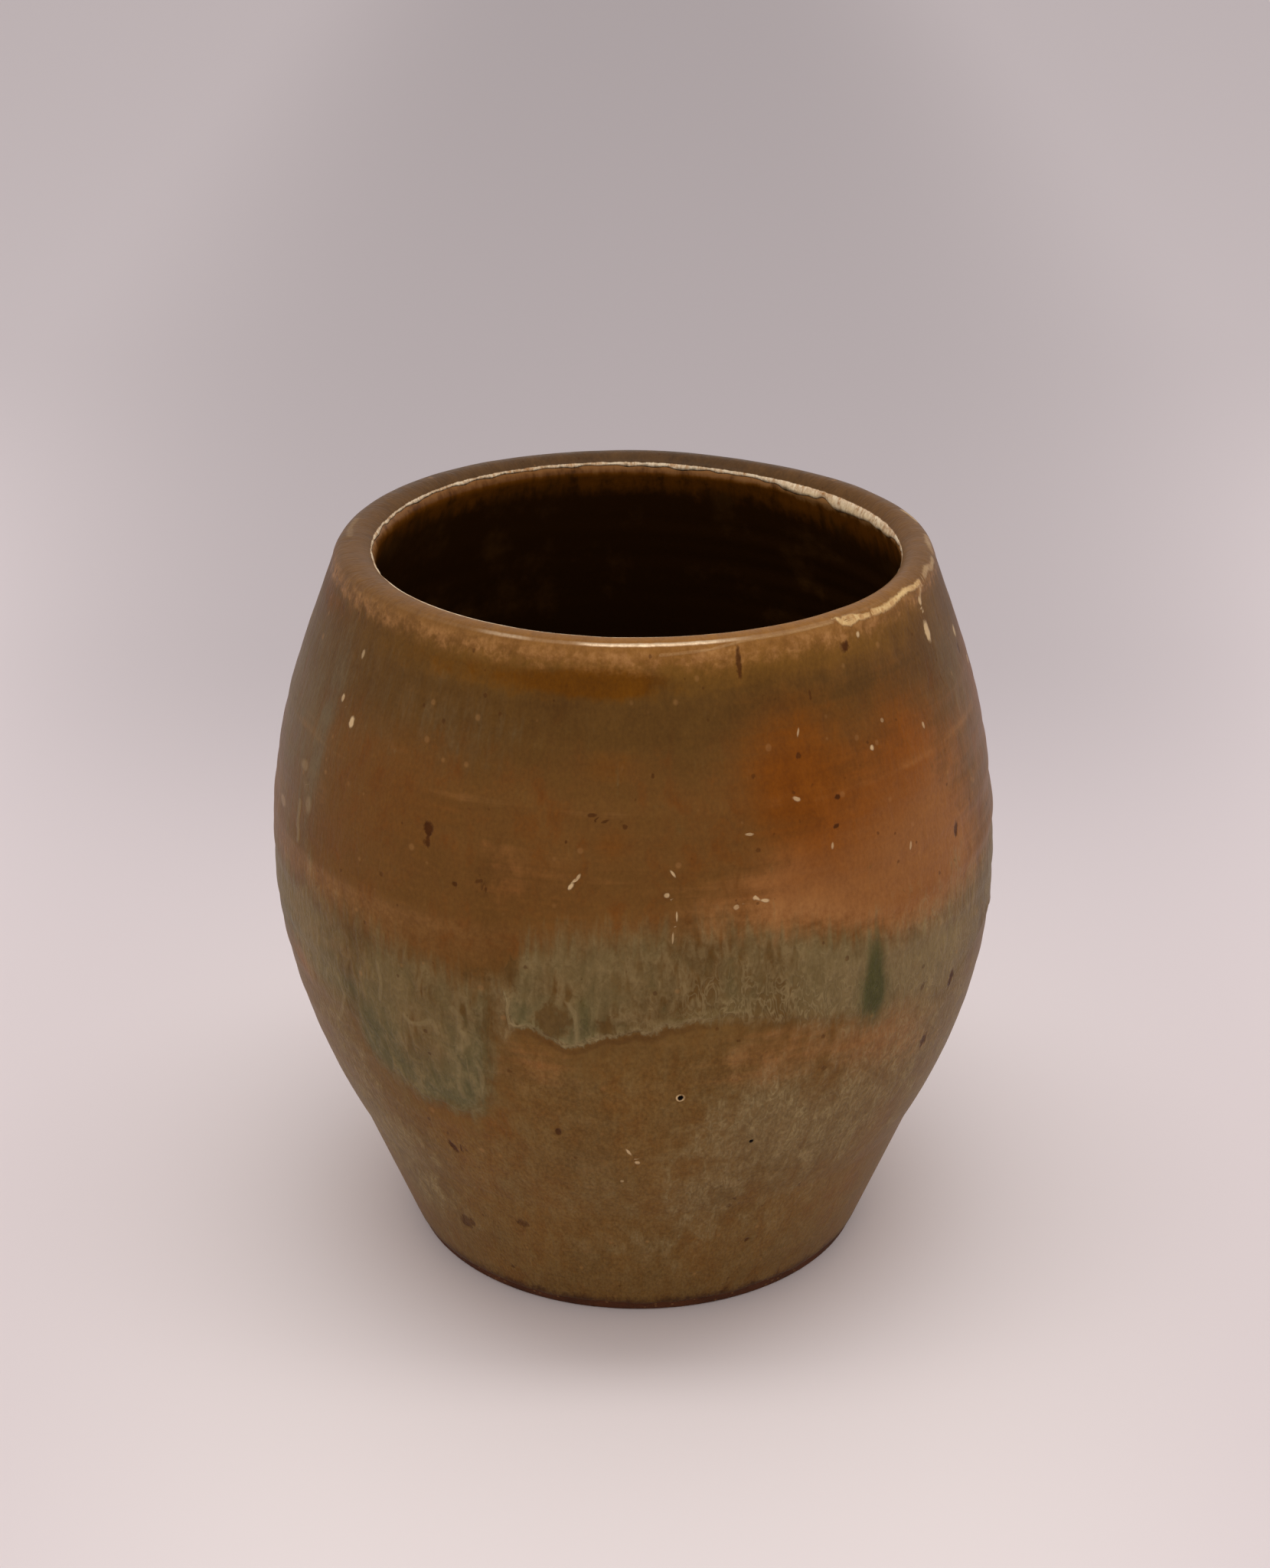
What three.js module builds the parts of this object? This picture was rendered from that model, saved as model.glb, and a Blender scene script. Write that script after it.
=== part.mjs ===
import * as THREE from 'three';

// A small thrown stoneware vase with three coats of glaze. Millimetres, +Z up, standing on Z = 0.
// Angles run round the axis from the front, which is the -Y side, and grow to the right, towards +X.

// Clay: foot and underside
const footRadius = 28.1;
const footRingWidth = 5.2;
const footEdge = 0.5; // bevel of the two edges of the foot ring
const recessDepth = 2.4;
const recessSlope = 1.4; // how far the wall of the recess leans inwards

// Clay: outside of the wall, a straight turned part below and a thrown curve above
const turnedHeight = 18.6;
const turnedRadius = 35.3;
const flareAngle = 28; // degrees off the upright, where the thrown curve starts
const flareReach = 5;
const bellyHeight = 49.9;
const bellyRadius = 43.35;
const lowerFullness = 14;
const upperFullness = 18;
const lipRadius = 34.8;
const lipLean = 19; // degrees off the upright, where the wall meets the lip
const lipReach = 10.3;

// Clay: lip, inside and floor
const clayHeight = 89.3;
const lipDrop = 1.6; // from the crest of the lip down to where its outer rounding starts
const lipThickness = 3.2;
const mouthRounding = 1; // of the lip's inner edge
const wallThickness = 4.8; // at the belly
const floorThickness = 6;
const floorRadius = 16; // flat middle of the floor
const innerUpperFullness = 16;
const innerLowerFullness = 24;
const floorFullness = 14;

// Glaze coats
const baseCoat = 0.6;
const topCoat = 0.35;
const linerCoat = 0.6;
const bareFoot = 1.2; // bare clay above the table
const coatEdge = 1; // height over which the base coat thickens

// Running edge of the top coat: its height, and the lobes that hang from it
const runLine = 48.5;
const beadThickness = 0.5;
const beadHeight = 0.9; // of the bead's fullest part above the edge
const beadFade = 2.6; // height at which the coat has thinned again behind the bead
const runSwell = 0.35; // how much thicker the coat is in the longest run
const longestRun = 14.5;
const frontRuns = [
  { at: -32, spread: 12, drop: longestRun },
  { at: -58, spread: 14, drop: 5 },
  { at: -9, spread: 12, drop: 3.5 },
  { at: 17, spread: 15, drop: 1.5 },
  { at: 38, spread: 7, drop: 5.5 },
  { at: 56, spread: 13, drop: 4.5 },
];
const backRunCount = 8;
const backRunDrop = 3.5;
const backRunVariation = 1.8;

// Facets
const segments = 78;
const lowerSteps = 4;
const upperSteps = 4;
const lipSteps = 2;
const innerSteps = 4;
const underRunSteps = 3;
const runSteps = 5;

const radians = THREE.MathUtils.degToRad;
const mix = THREE.MathUtils.lerp;
const point = (radius, height) => new THREE.Vector2(radius, height);

// Outline of the clay, as radius and height

const floorHeight = recessDepth + floorThickness;
const lipHeight = clayHeight - lipDrop;
const mouthRadius = lipRadius - lipThickness;
const crestRadius = mouthRadius + mouthRounding;

const footTop = point(footRadius, footEdge);
const turnedTop = point(turnedRadius, turnedHeight);
const belly = point(bellyRadius, bellyHeight);
const lip = point(lipRadius, lipHeight);
const crest = point(crestRadius, clayHeight);
const mouth = point(mouthRadius, clayHeight - mouthRounding);
const innerBelly = point(bellyRadius - wallThickness, bellyHeight);
const floorEdge = point(floorRadius, floorHeight);

const flare = point(Math.sin(radians(flareAngle)), Math.cos(radians(flareAngle)));
const lean = point(Math.sin(radians(lipLean)), -Math.cos(radians(lipLean)));

const turnedWall = new THREE.LineCurve(footTop, turnedTop);
const lowerWall = new THREE.CubicBezierCurve(
  turnedTop,
  turnedTop.clone().addScaledVector(flare, flareReach),
  point(bellyRadius, bellyHeight - lowerFullness),
  belly,
);
const upperWall = new THREE.CubicBezierCurve(
  belly,
  point(bellyRadius, bellyHeight + upperFullness),
  lip.clone().addScaledVector(lean, lipReach),
  lip,
);
const outerLip = new THREE.QuadraticBezierCurve(
  lip,
  point(lipRadius - lipDrop * Math.tan(radians(lipLean)), clayHeight),
  crest,
);
const innerLip = new THREE.QuadraticBezierCurve(crest, point(mouthRadius, clayHeight), mouth);
const innerUpperWall = new THREE.CubicBezierCurve(
  mouth,
  mouth.clone().addScaledVector(lean, lipReach),
  point(innerBelly.x, bellyHeight + innerUpperFullness),
  innerBelly,
);
const innerLowerWall = new THREE.CubicBezierCurve(
  innerBelly,
  point(innerBelly.x, bellyHeight - innerLowerFullness),
  point(floorRadius + floorFullness, floorHeight),
  floorEdge,
);

// A place on the outline, and the way that faces away from the clay there

function placeOn(curve, share) {
  const tangent = curve.getTangent(share);
  return { at: curve.getPoint(share), out: point(tangent.y, -tangent.x) };
}

function placeOnWall(height) {
  const curve = [turnedWall, lowerWall].find((part) => height <= part.getPoint(1).y) ?? upperWall;
  let low = 0;
  let high = 1;
  for (let halving = 0; halving < 40; halving += 1) {
    const middle = (low + high) / 2;
    if (curve.getPoint(middle).y < height) low = middle;
    else high = middle;
  }
  return placeOn(curve, (low + high) / 2);
}

const shares = (steps) => Array.from({ length: steps }, (_, step) => (step + 1) / steps);
const placesAlong = (curve, steps) => shares(steps).map((share) => placeOn(curve, share));
const cover = (place, thickness) => place.at.clone().addScaledVector(place.out, thickness);

const coatStart = placeOnWall(bareFoot);
const coatFull = placeOnWall(bareFoot + coatEdge);
const wallPlaces = [
  coatStart,
  coatFull,
  placeOnWall(turnedHeight),
  ...placesAlong(lowerWall, lowerSteps),
  ...placesAlong(upperWall, upperSteps),
];
const lipPlaces = [...placesAlong(outerLip, lipSteps), ...placesAlong(innerLip, lipSteps)];
const insidePlaces = [...placesAlong(innerUpperWall, innerSteps), ...placesAlong(innerLowerWall, innerSteps)];
const floorMiddle = { at: point(0, floorHeight), out: point(0, 1) };

// Solids

function turn(outline) {
  return new THREE.LatheGeometry(outline, segments).rotateX(Math.PI / 2);
}

// One turn of points round the axis, where the place and the thickness may change with the angle
function ring(profileAt) {
  return Array.from({ length: segments }, (_, index) => {
    const angle = (index / segments) * 2 * Math.PI;
    const { x: radius, y: height } = profileAt(angle);
    return new THREE.Vector3(radius * Math.sin(angle), -radius * Math.cos(angle), height);
  });
}

// The closed skin through rings of points, from the last of which it returns to the first. Each patch is split
// along its shorter diagonal, so that two coats that share rings also share facets.
function solidThroughRings(rings) {
  const vertices = rings.flat();
  const index = [];
  rings.forEach((_, row) => {
    const nextRow = (row + 1) % rings.length;
    for (let column = 0; column < segments; column += 1) {
      const nextColumn = (column + 1) % segments;
      const [a, b] = [row * segments + column, row * segments + nextColumn];
      const [c, d] = [nextRow * segments + column, nextRow * segments + nextColumn];
      if (vertices[a].distanceTo(vertices[d]) < vertices[b].distanceTo(vertices[c])) {
        index.push(a, b, d, a, d, c);
      } else {
        index.push(a, b, c, b, d, c);
      }
    }
  });
  const geometry = new THREE.BufferGeometry().setFromPoints(vertices);
  geometry.setIndex(index);
  geometry.computeVertexNormals();
  return geometry;
}

function clayBody() {
  const ringInside = footRadius - footRingWidth;
  return turn([
    point(0, recessDepth),
    point(ringInside - recessSlope, recessDepth),
    point(ringInside, footEdge),
    point(ringInside + footEdge, 0),
    point(footRadius - footEdge, 0),
    footTop,
    ...[...wallPlaces, ...lipPlaces, ...insidePlaces, floorMiddle].map((place) => place.at),
  ]);
}

function linerCoatSolid() {
  const places = [lipPlaces.at(-1), ...insidePlaces, floorMiddle];
  const surface = places.map((place) => cover(place, linerCoat));
  return turn([...surface.reverse(), ...places.map((place) => place.at)].reverse());
}

// Height of the running edge, at an angle in radians. A lobe is round below and meets the next in a cusp.

function backRuns() {
  const from = frontRuns.reduce((most, run) => Math.max(most, run.at + run.spread), 0);
  const to = frontRuns.reduce((least, run) => Math.min(least, run.at - run.spread), 0) + 360;
  const pitch = (to - from) / backRunCount;
  return Array.from({ length: backRunCount }, (_, count) => ({
    at: from + (count + 0.5) * pitch,
    spread: pitch / 2,
    drop: backRunDrop + backRunVariation * Math.sin(count * 2.4),
  }));
}

const runs = [...frontRuns, ...backRuns()];

function runDrop(angle) {
  const degrees = THREE.MathUtils.radToDeg(angle);
  return runs.reduce((most, run) => {
    const away = Math.abs(THREE.MathUtils.euclideanModulo(degrees - run.at + 180, 360) - 180) / run.spread;
    return away < 1 ? Math.max(most, run.drop * Math.sqrt(Math.cos((away * Math.PI) / 2))) : most;
  }, 0);
}

const runEdge = (angle) => runLine - runDrop(angle);
const swell = (angle) => 1 + (runSwell * runDrop(angle)) / longestRun;

// The base coat's surface under the top coat: rows that follow the running edge and level out at the lip
const coveredRows = [0, ...shares(runSteps)].map((share) => (angle) => {
  const height = mix(runEdge(angle), lipHeight, share);
  return cover(placeOnWall(height), baseCoat);
});
const coveredLip = lipPlaces.map((place) => () => cover(place, baseCoat));

function baseCoatSolid() {
  const underside = [...wallPlaces, ...lipPlaces].map((place) => () => place.at);
  const belowRuns = shares(underRunSteps).slice(0, -1).map((share) => (angle) => {
    const height = mix(turnedHeight, runEdge(angle), share);
    return cover(placeOnWall(height), baseCoat);
  });
  const surface = [
    () => cover(coatFull, baseCoat),
    () => cover(placeOnWall(turnedHeight), baseCoat),
    ...belowRuns,
    ...coveredRows,
    ...coveredLip,
  ];
  return solidThroughRings([...surface, ...underside.reverse()].map(ring));
}

function topCoatSolid() {
  const bead = [
    { up: beadHeight * 0.3, thickness: beadThickness * 0.75 },
    { up: beadHeight, thickness: beadThickness },
    { up: beadFade, thickness: topCoat },
  ].map(({ up, thickness }) => (angle) => {
    return cover(placeOnWall(runEdge(angle) + up), baseCoat + thickness * swell(angle));
  });
  const wall = shares(runSteps).map((share) => (angle) => {
    const height = mix(runEdge(angle) + beadFade, lipHeight, share);
    return cover(placeOnWall(height), baseCoat + mix(topCoat * swell(angle), topCoat, share));
  });
  const thinning = lipPlaces.slice(0, -1).map((place, index) => () => {
    return cover(place, baseCoat + topCoat * (1 - (index + 1) / lipPlaces.length));
  });
  const surface = [...bead, ...wall, ...thinning];
  const underside = [...coveredRows, ...coveredLip];
  return solidThroughRings([...surface, ...underside.reverse()].map(ring));
}

// Assembly

function piece(name, geometry, color, roughness) {
  const mesh = new THREE.Mesh(geometry, new THREE.MeshStandardMaterial({ color, roughness, metalness: 0 }));
  mesh.name = name;
  return mesh;
}

const group = new THREE.Group();
group.add(
  piece('stoneware_body', clayBody(), 0x4a2a1a, 0.85),
  piece('base_glaze', baseCoatSolid(), 0x6b4526, 0.4),
  piece('top_glaze', topCoatSolid(), 0x776043, 0.35),
  piece('liner_glaze', linerCoatSolid(), 0x3a2616, 0.3),
);

export default group;
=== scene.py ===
"""Small thrown stoneware vase in layered, running glazes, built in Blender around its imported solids.

Lengths below are millimetres, but places and sizes in the studio are metres. Angles are degrees round the
pot: 0 is the front, on the -Y side, and they grow to the right, towards +X.
"""

import math

import bmesh
import bpy
import numpy as np
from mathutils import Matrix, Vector, geometry, noise


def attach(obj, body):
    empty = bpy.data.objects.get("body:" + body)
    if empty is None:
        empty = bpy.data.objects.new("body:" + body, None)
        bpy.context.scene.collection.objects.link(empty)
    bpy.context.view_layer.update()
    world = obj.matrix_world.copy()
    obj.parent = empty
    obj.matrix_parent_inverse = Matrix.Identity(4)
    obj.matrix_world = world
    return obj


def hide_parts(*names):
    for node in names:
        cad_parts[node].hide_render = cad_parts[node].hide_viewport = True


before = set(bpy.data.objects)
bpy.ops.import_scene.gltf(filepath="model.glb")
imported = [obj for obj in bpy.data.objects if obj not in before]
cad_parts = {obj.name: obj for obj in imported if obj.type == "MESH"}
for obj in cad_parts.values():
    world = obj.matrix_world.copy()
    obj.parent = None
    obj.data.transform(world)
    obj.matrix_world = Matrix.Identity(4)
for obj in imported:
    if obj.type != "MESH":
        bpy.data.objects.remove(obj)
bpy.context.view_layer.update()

bl_info = {
    "name": "Stoneware Vase",
    "version": (1, 0, 0),
    "blender": (4, 5, 0),
    "location": "3D Viewport > Sidebar > Vase",
    "description": "Throws, glazes and lights a small stoneware vase",
    "category": "Object",
}

MM = 0.001

# Outline of the finished pot: points as radius and height, and the reach of the handles between them

FOOT = (28.75, 0.0)
TURNED = (35.89, 18.43)
FLARE_ANGLE = 28.3
FLARE_REACH = 4.9
BELLY = (44.29, 49.86)
LOWER_FULLNESS = 14.0
UPPER_FULLNESS = 18.1
LIP = (35.70, 88.02)
LIP_LEAN = 19.0
LIP_REACH = 10.35
LIP_ROUNDING = 1.5
CREST = (33.45, 89.8)
CREST_OUTWARD = 1.4
CREST_INWARD = 0.9
MOUTH = (30.95, 87.5)
MOUTH_OFFSET = 0.5
INNER_LIP_REACH = LIP_REACH - 1.0
INNER_BELLY = (37.95, 49.9)
INNER_UPPER_FULLNESS = 16.0
INNER_LOWER_FULLNESS = 24.0
FLOOR_EDGE = (16.0, 9.0)
FLOOR_FULLNESS = 14.0
FLOOR_FLATNESS = 6.0
FLOOR_MIDDLE = (0.0, 8.8)

# Thickness of the coats, and the foot

OUTER_COATS = 0.95
LIP_COATS = 0.7
LINER_COAT = 0.6
TOP_COAT = 0.3
TUCK = 0.05
LINER_DIP = 0.12
BARE_FOOT = 1.2
# How deep the clay and the base coat's back lie at the glaze line, and where both are full, as a height
COAT_START = 0.12
BASE_START = 0.14
FULL_COAT_HEIGHT = 6.0
FOOT_RING_WIDTH = 5.2
RING_OUTSIDE = FOOT[0] + 0.02
RING_INSIDE = RING_OUTSIDE - FOOT_RING_WIDTH
FOOT_BEVEL = 0.35
RECESS_DEPTH = 2.4
RECESS_SLOPE = 1.4

# Marks of the hand: spacing of the rings on wall, recess and floor, and height of a second, fainter crest

COARSE_RINGS = 6.1
FINE_RINGS = 2.9
TURNING_PITCH = 1.7
SPIRAL_PITCH = 5.2
SECOND_CREST = 72.6
# How far past the turn of the lip its shining ridge lies, with its painted highlight
LIP_RIDGE = 1.89
# Waves of the rim: share of its wobble, angle, half-width in degrees
RIM_WAVES = ((0.75, -145, 40), (-1.1, 140, 38))

# Where the top coat stopped running: angle, height

RUNNING_EDGE = (
    (-74, 44.5), (-68, 45.5), (-62, 43.4), (-55, 42.6), (-50, 43.6), (-46, 42.2), (-43, 38.6), (-40.5, 35.4),
    (-36, 32.9), (-32, 33.3), (-28, 32.6), (-24.6, 34.0), (-22.8, 37.6), (-21.8, 42.8), (-20.9, 48.0),
    (-19.9, 51.8), (-19.1, 50.0), (-18.3, 47.4), (-16.6, 47.0), (-15, 47.4), (-13, 46.5), (-10.8, 45.7),
    (-9.2, 45.1), (-7.2, 45.6), (-4.5, 46.5), (-2, 46.9), (0.5, 47.7), (2.5, 47.1), (4.5, 48.3), (7, 48.2),
    (8.5, 48.9), (10.5, 48.4), (13, 48.9), (17, 48.3), (21, 47.4), (26, 46.3), (31, 45.6), (35, 45.0),
    (37.5, 43.8), (39.5, 43.6), (42, 44.6), (46, 44.0), (51, 42.6), (57, 41.6), (62, 42.6), (68, 44.2),
    (76, 46.0), (83, 44.2), (88, 39.4), (93, 37.2), (98, 39.0), (102, 44.0), (108, 46.6), (116, 45.0),
    (124, 43.2), (131, 44.6), (136, 47.4), (140, 46.2), (145, 40.6), (149, 36.0), (153, 34.6), (157, 36.2),
    (160, 41.0), (163, 46.6), (170, 48.4), (178, 46.6), (186, 44.8), (194, 46.4), (199, 47.0), (204, 43.0),
    (208, 40.2), (213, 41.8), (218, 46.0), (228, 47.2), (238, 45.4), (246, 44.0), (254, 46.0), (259, 44.6),
    (263, 41.0), (268, 40.0), (273, 42.6), (279, 45.0),
)
# Ripples along that edge: height, length in degrees, seed
EDGE_RIPPLES = ((0.35, 5, 3.1), (0.28, 2.2, 7.7))
# Upper border of the green-grey band above that edge
BAND_TOP = (
    (-75, 55), (-60, 55), (-45, 54.6), (-33, 53.8), (-26, 52.6), (-21, 51.8), (-18.6, 52.6), (-17, 55.4),
    (-15, 57.6), (-10, 59.2), (5, 60.2), (14, 59.8), (25, 58.4), (31, 56.8), (43, 54.2), (53, 52.8),
    (62, 53.6), (75, 56), (90, 57.5), (110, 55), (128, 53), (150, 57), (168, 58.6), (185, 56), (205, 53.8),
    (225, 56.4), (245, 58.2), (265, 56),
)
# A crest left by a finger while throwing, where the glaze lies thin
FINGER_CREST = (
    (-75, 58.4), (-56, 58.3), (-40, 58.6), (-22, 58.7), (-8, 60.2), (0, 61.2), (15, 62.2), (27, 61.0),
    (38, 57.8), (51, 56.2), (62, 56.6), (90, 58), (130, 59), (170, 60.5), (210, 60), (250, 59),
)
# How plainly the paler strip under that crest shows
CREST_SHOW = (
    (-78, 0.2), (-60, 0.45), (-40, 0.4), (-24, 0.2), (-14, 0.05), (4, 0.15), (12, 0.4), (22, 0.55),
    (34, 0.45), (46, 0.5), (60, 0.35), (90, 0.3), (120, 0.45), (150, 0.2), (180, 0.4), (215, 0.15),
    (245, 0.4), (270, 0.2),
)
# How crisp the running edge is: 1 a beaded line, 0 a haze
EDGE_CRISPNESS = (
    (-70, 0), (-52, 0), (-46, 0.05), (-42, 0.15), (-36, 0.3), (-26, 0.3), (-21.5, 0.2), (-19, 0.3),
    (-17.6, 0.9), (-8, 1), (2, 0.95), (9, 0.8), (15, 0.5), (21, 0.2), (40, 0.05), (60, 0.05), (80, 0.3),
    (92, 0.5), (104, 0.2), (115, 0.1), (135, 0.5), (150, 1), (164, 0.8), (180, 0.1), (200, 0.4), (208, 0.6),
    (216, 0.3), (225, 0.1), (262, 0.5), (275, 0.2),
)
# How far the curds in the band lie curled up, from 0, drawn out in ropes, to 1
CURL = (
    (-75, 0.2), (-45, 0.15), (-22, 0.1), (-6, 0.2), (6, 0.45), (14, 0.8), (24, 1), (58, 0.9), (80, 0.4),
    (110, 0.8), (140, 0.3), (165, 0.2), (195, 0.7), (225, 1), (255, 0.5),
)
# How warm the lip is
RIM_TONE = (
    (-170, 0.15), (-130, 0.2), (-90, 0.36), (-60, 0.5), (-35, 0.7), (-20, 0.85), (0, 1.0), (40, 0.95),
    (60, 0.75), (75, 0.5), (100, 0.45), (140, 0.25), (165, 0.1),
)
# How far before the mouth the cream glaze starts, and how far it hangs down from there, in mm
CREAM_START = (
    (-170, 1.65), (-130, 1.6), (-105, 1.45), (-80, 1.45), (-65, 1.85), (-55, 2.3), (-45, 2.7), (-35, 2.9),
    (-25, 3.05), (-10, 3.15), (10, 3.15), (25, 3.05), (35, 2.85), (45, 2.55), (55, 2.2), (65, 1.8),
    (80, 1.45), (92, 1.42), (106, 1.6), (150, 1.65),
)
CREAM_HANG = (
    (-170, 0.55), (-150, 0.45), (-118, 0.45), (-100, 0.6), (-85, 0.7), (-70, 0.65), (-40, 0.6), (0, 0.6),
    (40, 0.6), (76, 0.6), (95, 0.8), (104, 1.5), (115, 1.9), (131, 1.9), (139, 1.4), (147, 0.8), (152, 0.7),
    (165, 0.6),
)
# How far the ridge of the lip shines: a highlight painted in cream, with a partly metallic gloss
LUSTRE_AND_PAINTED_HIGHLIGHT = (
    (-60, 0.0), (-30, 0.05), (-26, 0.4), (-21, 0.5), (-18, 0.1), (-11, 0.2), (-8, 0.9), (3, 1.0), (14, 1.0),
    (17, 0.5), (22, 0.15), (40, 0.1), (60, 0.0), (180, 0.0),
)
# The rings that the materials read, by the names that they read them under
RING_TABLES = {
    "crisp": EDGE_CRISPNESS, "curl": CURL, "crest_show": CREST_SHOW, "rim_tone": RIM_TONE,
    "cream": CREAM_START, "hang": CREAM_HANG, "lustre_and_painted_highlight": LUSTRE_AND_PAINTED_HIGHLIGHT,
}

# Clouds of colour in the glaze: angle, height, half-width in degrees, half-height, strength

ORANGE = (
    (25, 75, 9, 8, 1.15), (48, 75, 10, 6.5, 0.85), (36, 68, 10, 6, 0.5), (-39, 71.5, 12, 7, 0.5),
    (-3, 77.4, 6, 1.8, 0.5), (-3, 69.3, 3.2, 2.0, 0.55), (49, 56.5, 12, 2.2, 0.6), (-12, 62, 10, 3, 0.3),
    (78, 70, 14, 8, 0.7), (103, 74, 13, 9, 1.1), (136, 69, 16, 8, 0.7), (166, 75, 14, 7.5, 1.15),
    (196, 70, 13, 8, 0.7), (226, 74, 15, 8, 1.0), (256, 69, 14, 7, 0.6),
)
SALMON = (
    (47, 65, 15, 8, 1.5), (27, 62.5, 14, 4.5, 1.0), (55, 58, 12, 4.5, 0.6), (36, 43, 13, 4, 0.5),
    (30, 86.6, 13, 2.2, 0.6), (50, 85.5, 12, 3.5, 0.8), (67, 84, 9, 5, 0.7), (-14, 66.5, 8, 4, 0.35),
    (-15, 43, 4.5, 3, 0.5), (-63, 45, 5, 4, 0.8), (44, 38, 9, 5, 0.5), (20, 43, 8, 4, 0.35),
    (88, 64, 12, 6, 0.8), (122, 62, 12, 5, 0.6), (152, 66, 12, 6, 0.9), (215, 65, 14, 7, 1.0),
    (262, 64, 10, 6, 0.8), (285, 62, 8, 5, 0.5),
)
AMBER = (
    (-4, 85.9, 7.5, 1.35, 1.25), (-15, 85.8, 12, 1.4, 0.6), (-34, 85.7, 14, 1.5, 0.4),
    (27, 86.2, 12, 1.0, 0.2), (110, 86.3, 16, 1.5, 1.1), (170, 86, 20, 1.5, 0.8), (235, 86.3, 14, 1.5, 1.1),
    (285, 86, 12, 1.4, 0.6),
)
# Grey-green haze, thin and mottled, over the brown coat
HAZE = (
    (44, 50, 17, 6, 0.9), (8, 13, 9, 6, 0.16), (-19.6, 49.2, 1.7, 4.2, 1.1), (-12, 22, 12, 8, 0.35),
    (28, 16, 14, 9, 0.3), (20, 33.5, 10, 5.5, 1.15), (46, 35, 15, 11, 0.8), (30, 28, 12, 5, 0.45),
    (-57, 30, 10, 16, 0.8), (-50, 17, 12, 9, 0.8), (11, 21, 7, 6, 0.6), (-2, 12, 10, 4, 0.22),
    (60, 48, 8, 8, 0.6), (-60, 50, 8, 8, 0.6), (75, 24, 14, 12, 0.8), (120, 34, 14, 7, 0.9),
    (95, 16, 14, 7, 0.6), (178, 36, 14, 8, 1.0), (150, 22, 12, 7, 0.7), (205, 27, 14, 9, 0.8),
    (240, 36, 14, 7, 0.9), (262, 18, 14, 9, 0.8), (230, 10, 12, 4, 0.5),
)
# How far the band's colour spreads beyond the edge, in mm: a thin veil beside its tongue
SPREAD = ((-45.5, 38.0, 3.4, 4.2, 3.2), (146.5, 38.0, 2.4, 3.0, 1.6))
# Thick glaze, dark and glassy
POOLS = (
    (-7, 50.6, 1.5, 1.5, 0.5), (-6.8, 48.2, 1.0, 1.4, 0.6), (-16, 49.6, 0.8, 1.6, 0.45),
    (-27, 47.5, 9, 3, 0.25), (37.8, 47.4, 2.6, 3.6, 1.3), (38.2, 52.6, 1.2, 3.0, 0.8),
    (92, 41.5, 2.0, 3.2, 1.2), (152, 39.5, 2.2, 3.4, 1.2), (208, 45, 1.8, 3.4, 1.2),
    (267, 44.5, 2.0, 3.0, 1.1),
)
# Glaze with little in it, brown and clear: windows in the band, and the gap beside its tongue
PANES = (
    (-11.9, 48.6, 2.4, 1.9, 1.15), (-4.1, 48.3, 1.3, 1.0, 1.1), (-17.6, 54.0, 1.1, 2.2, 1.0),
    (-23.5, 53.0, 2.8, 1.4, 0.5), (2.5, 49.6, 0.9, 0.8, 0.6), (12, 50.4, 1.2, 0.9, 0.5),
    (97, 43, 2, 1.6, 0.9), (147, 41, 2.2, 1.8, 1), (211, 43.5, 1.8, 1.5, 0.9),
)
# Ash-grey streaks down the flanks; those near 70 degrees either way from the front also paint the grey sheen
# of grazing reflection there
ASH_AND_PAINTED_SHEEN = (
    (-66, 74, 10, 12, 0.55), (-72, 60, 9, 14, 0.5), (-60, 73, 1.7, 9, 0.5), (-27, 79.5, 9, 4.5, 0.35),
    (-44, 80, 10, 5, 0.3), (70, 76, 9, 12, 0.7), (82, 62, 8, 12, 0.6), (123, 76, 7, 10, 0.8),
    (184, 78, 8, 9, 0.7), (246, 78, 8, 9, 0.8), (275, 74, 9, 10, 0.8),
)
CLOUDS = {
    "orange": ORANGE, "salmon": SALMON, "amber": AMBER, "haze": HAZE, "spread": SPREAD, "pool": POOLS,
    "pane": PANES, "ash": ASH_AND_PAINTED_SHEEN,
}

# Specks: angle, height, half-width, half-height in mm, lean in degrees, strength

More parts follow.
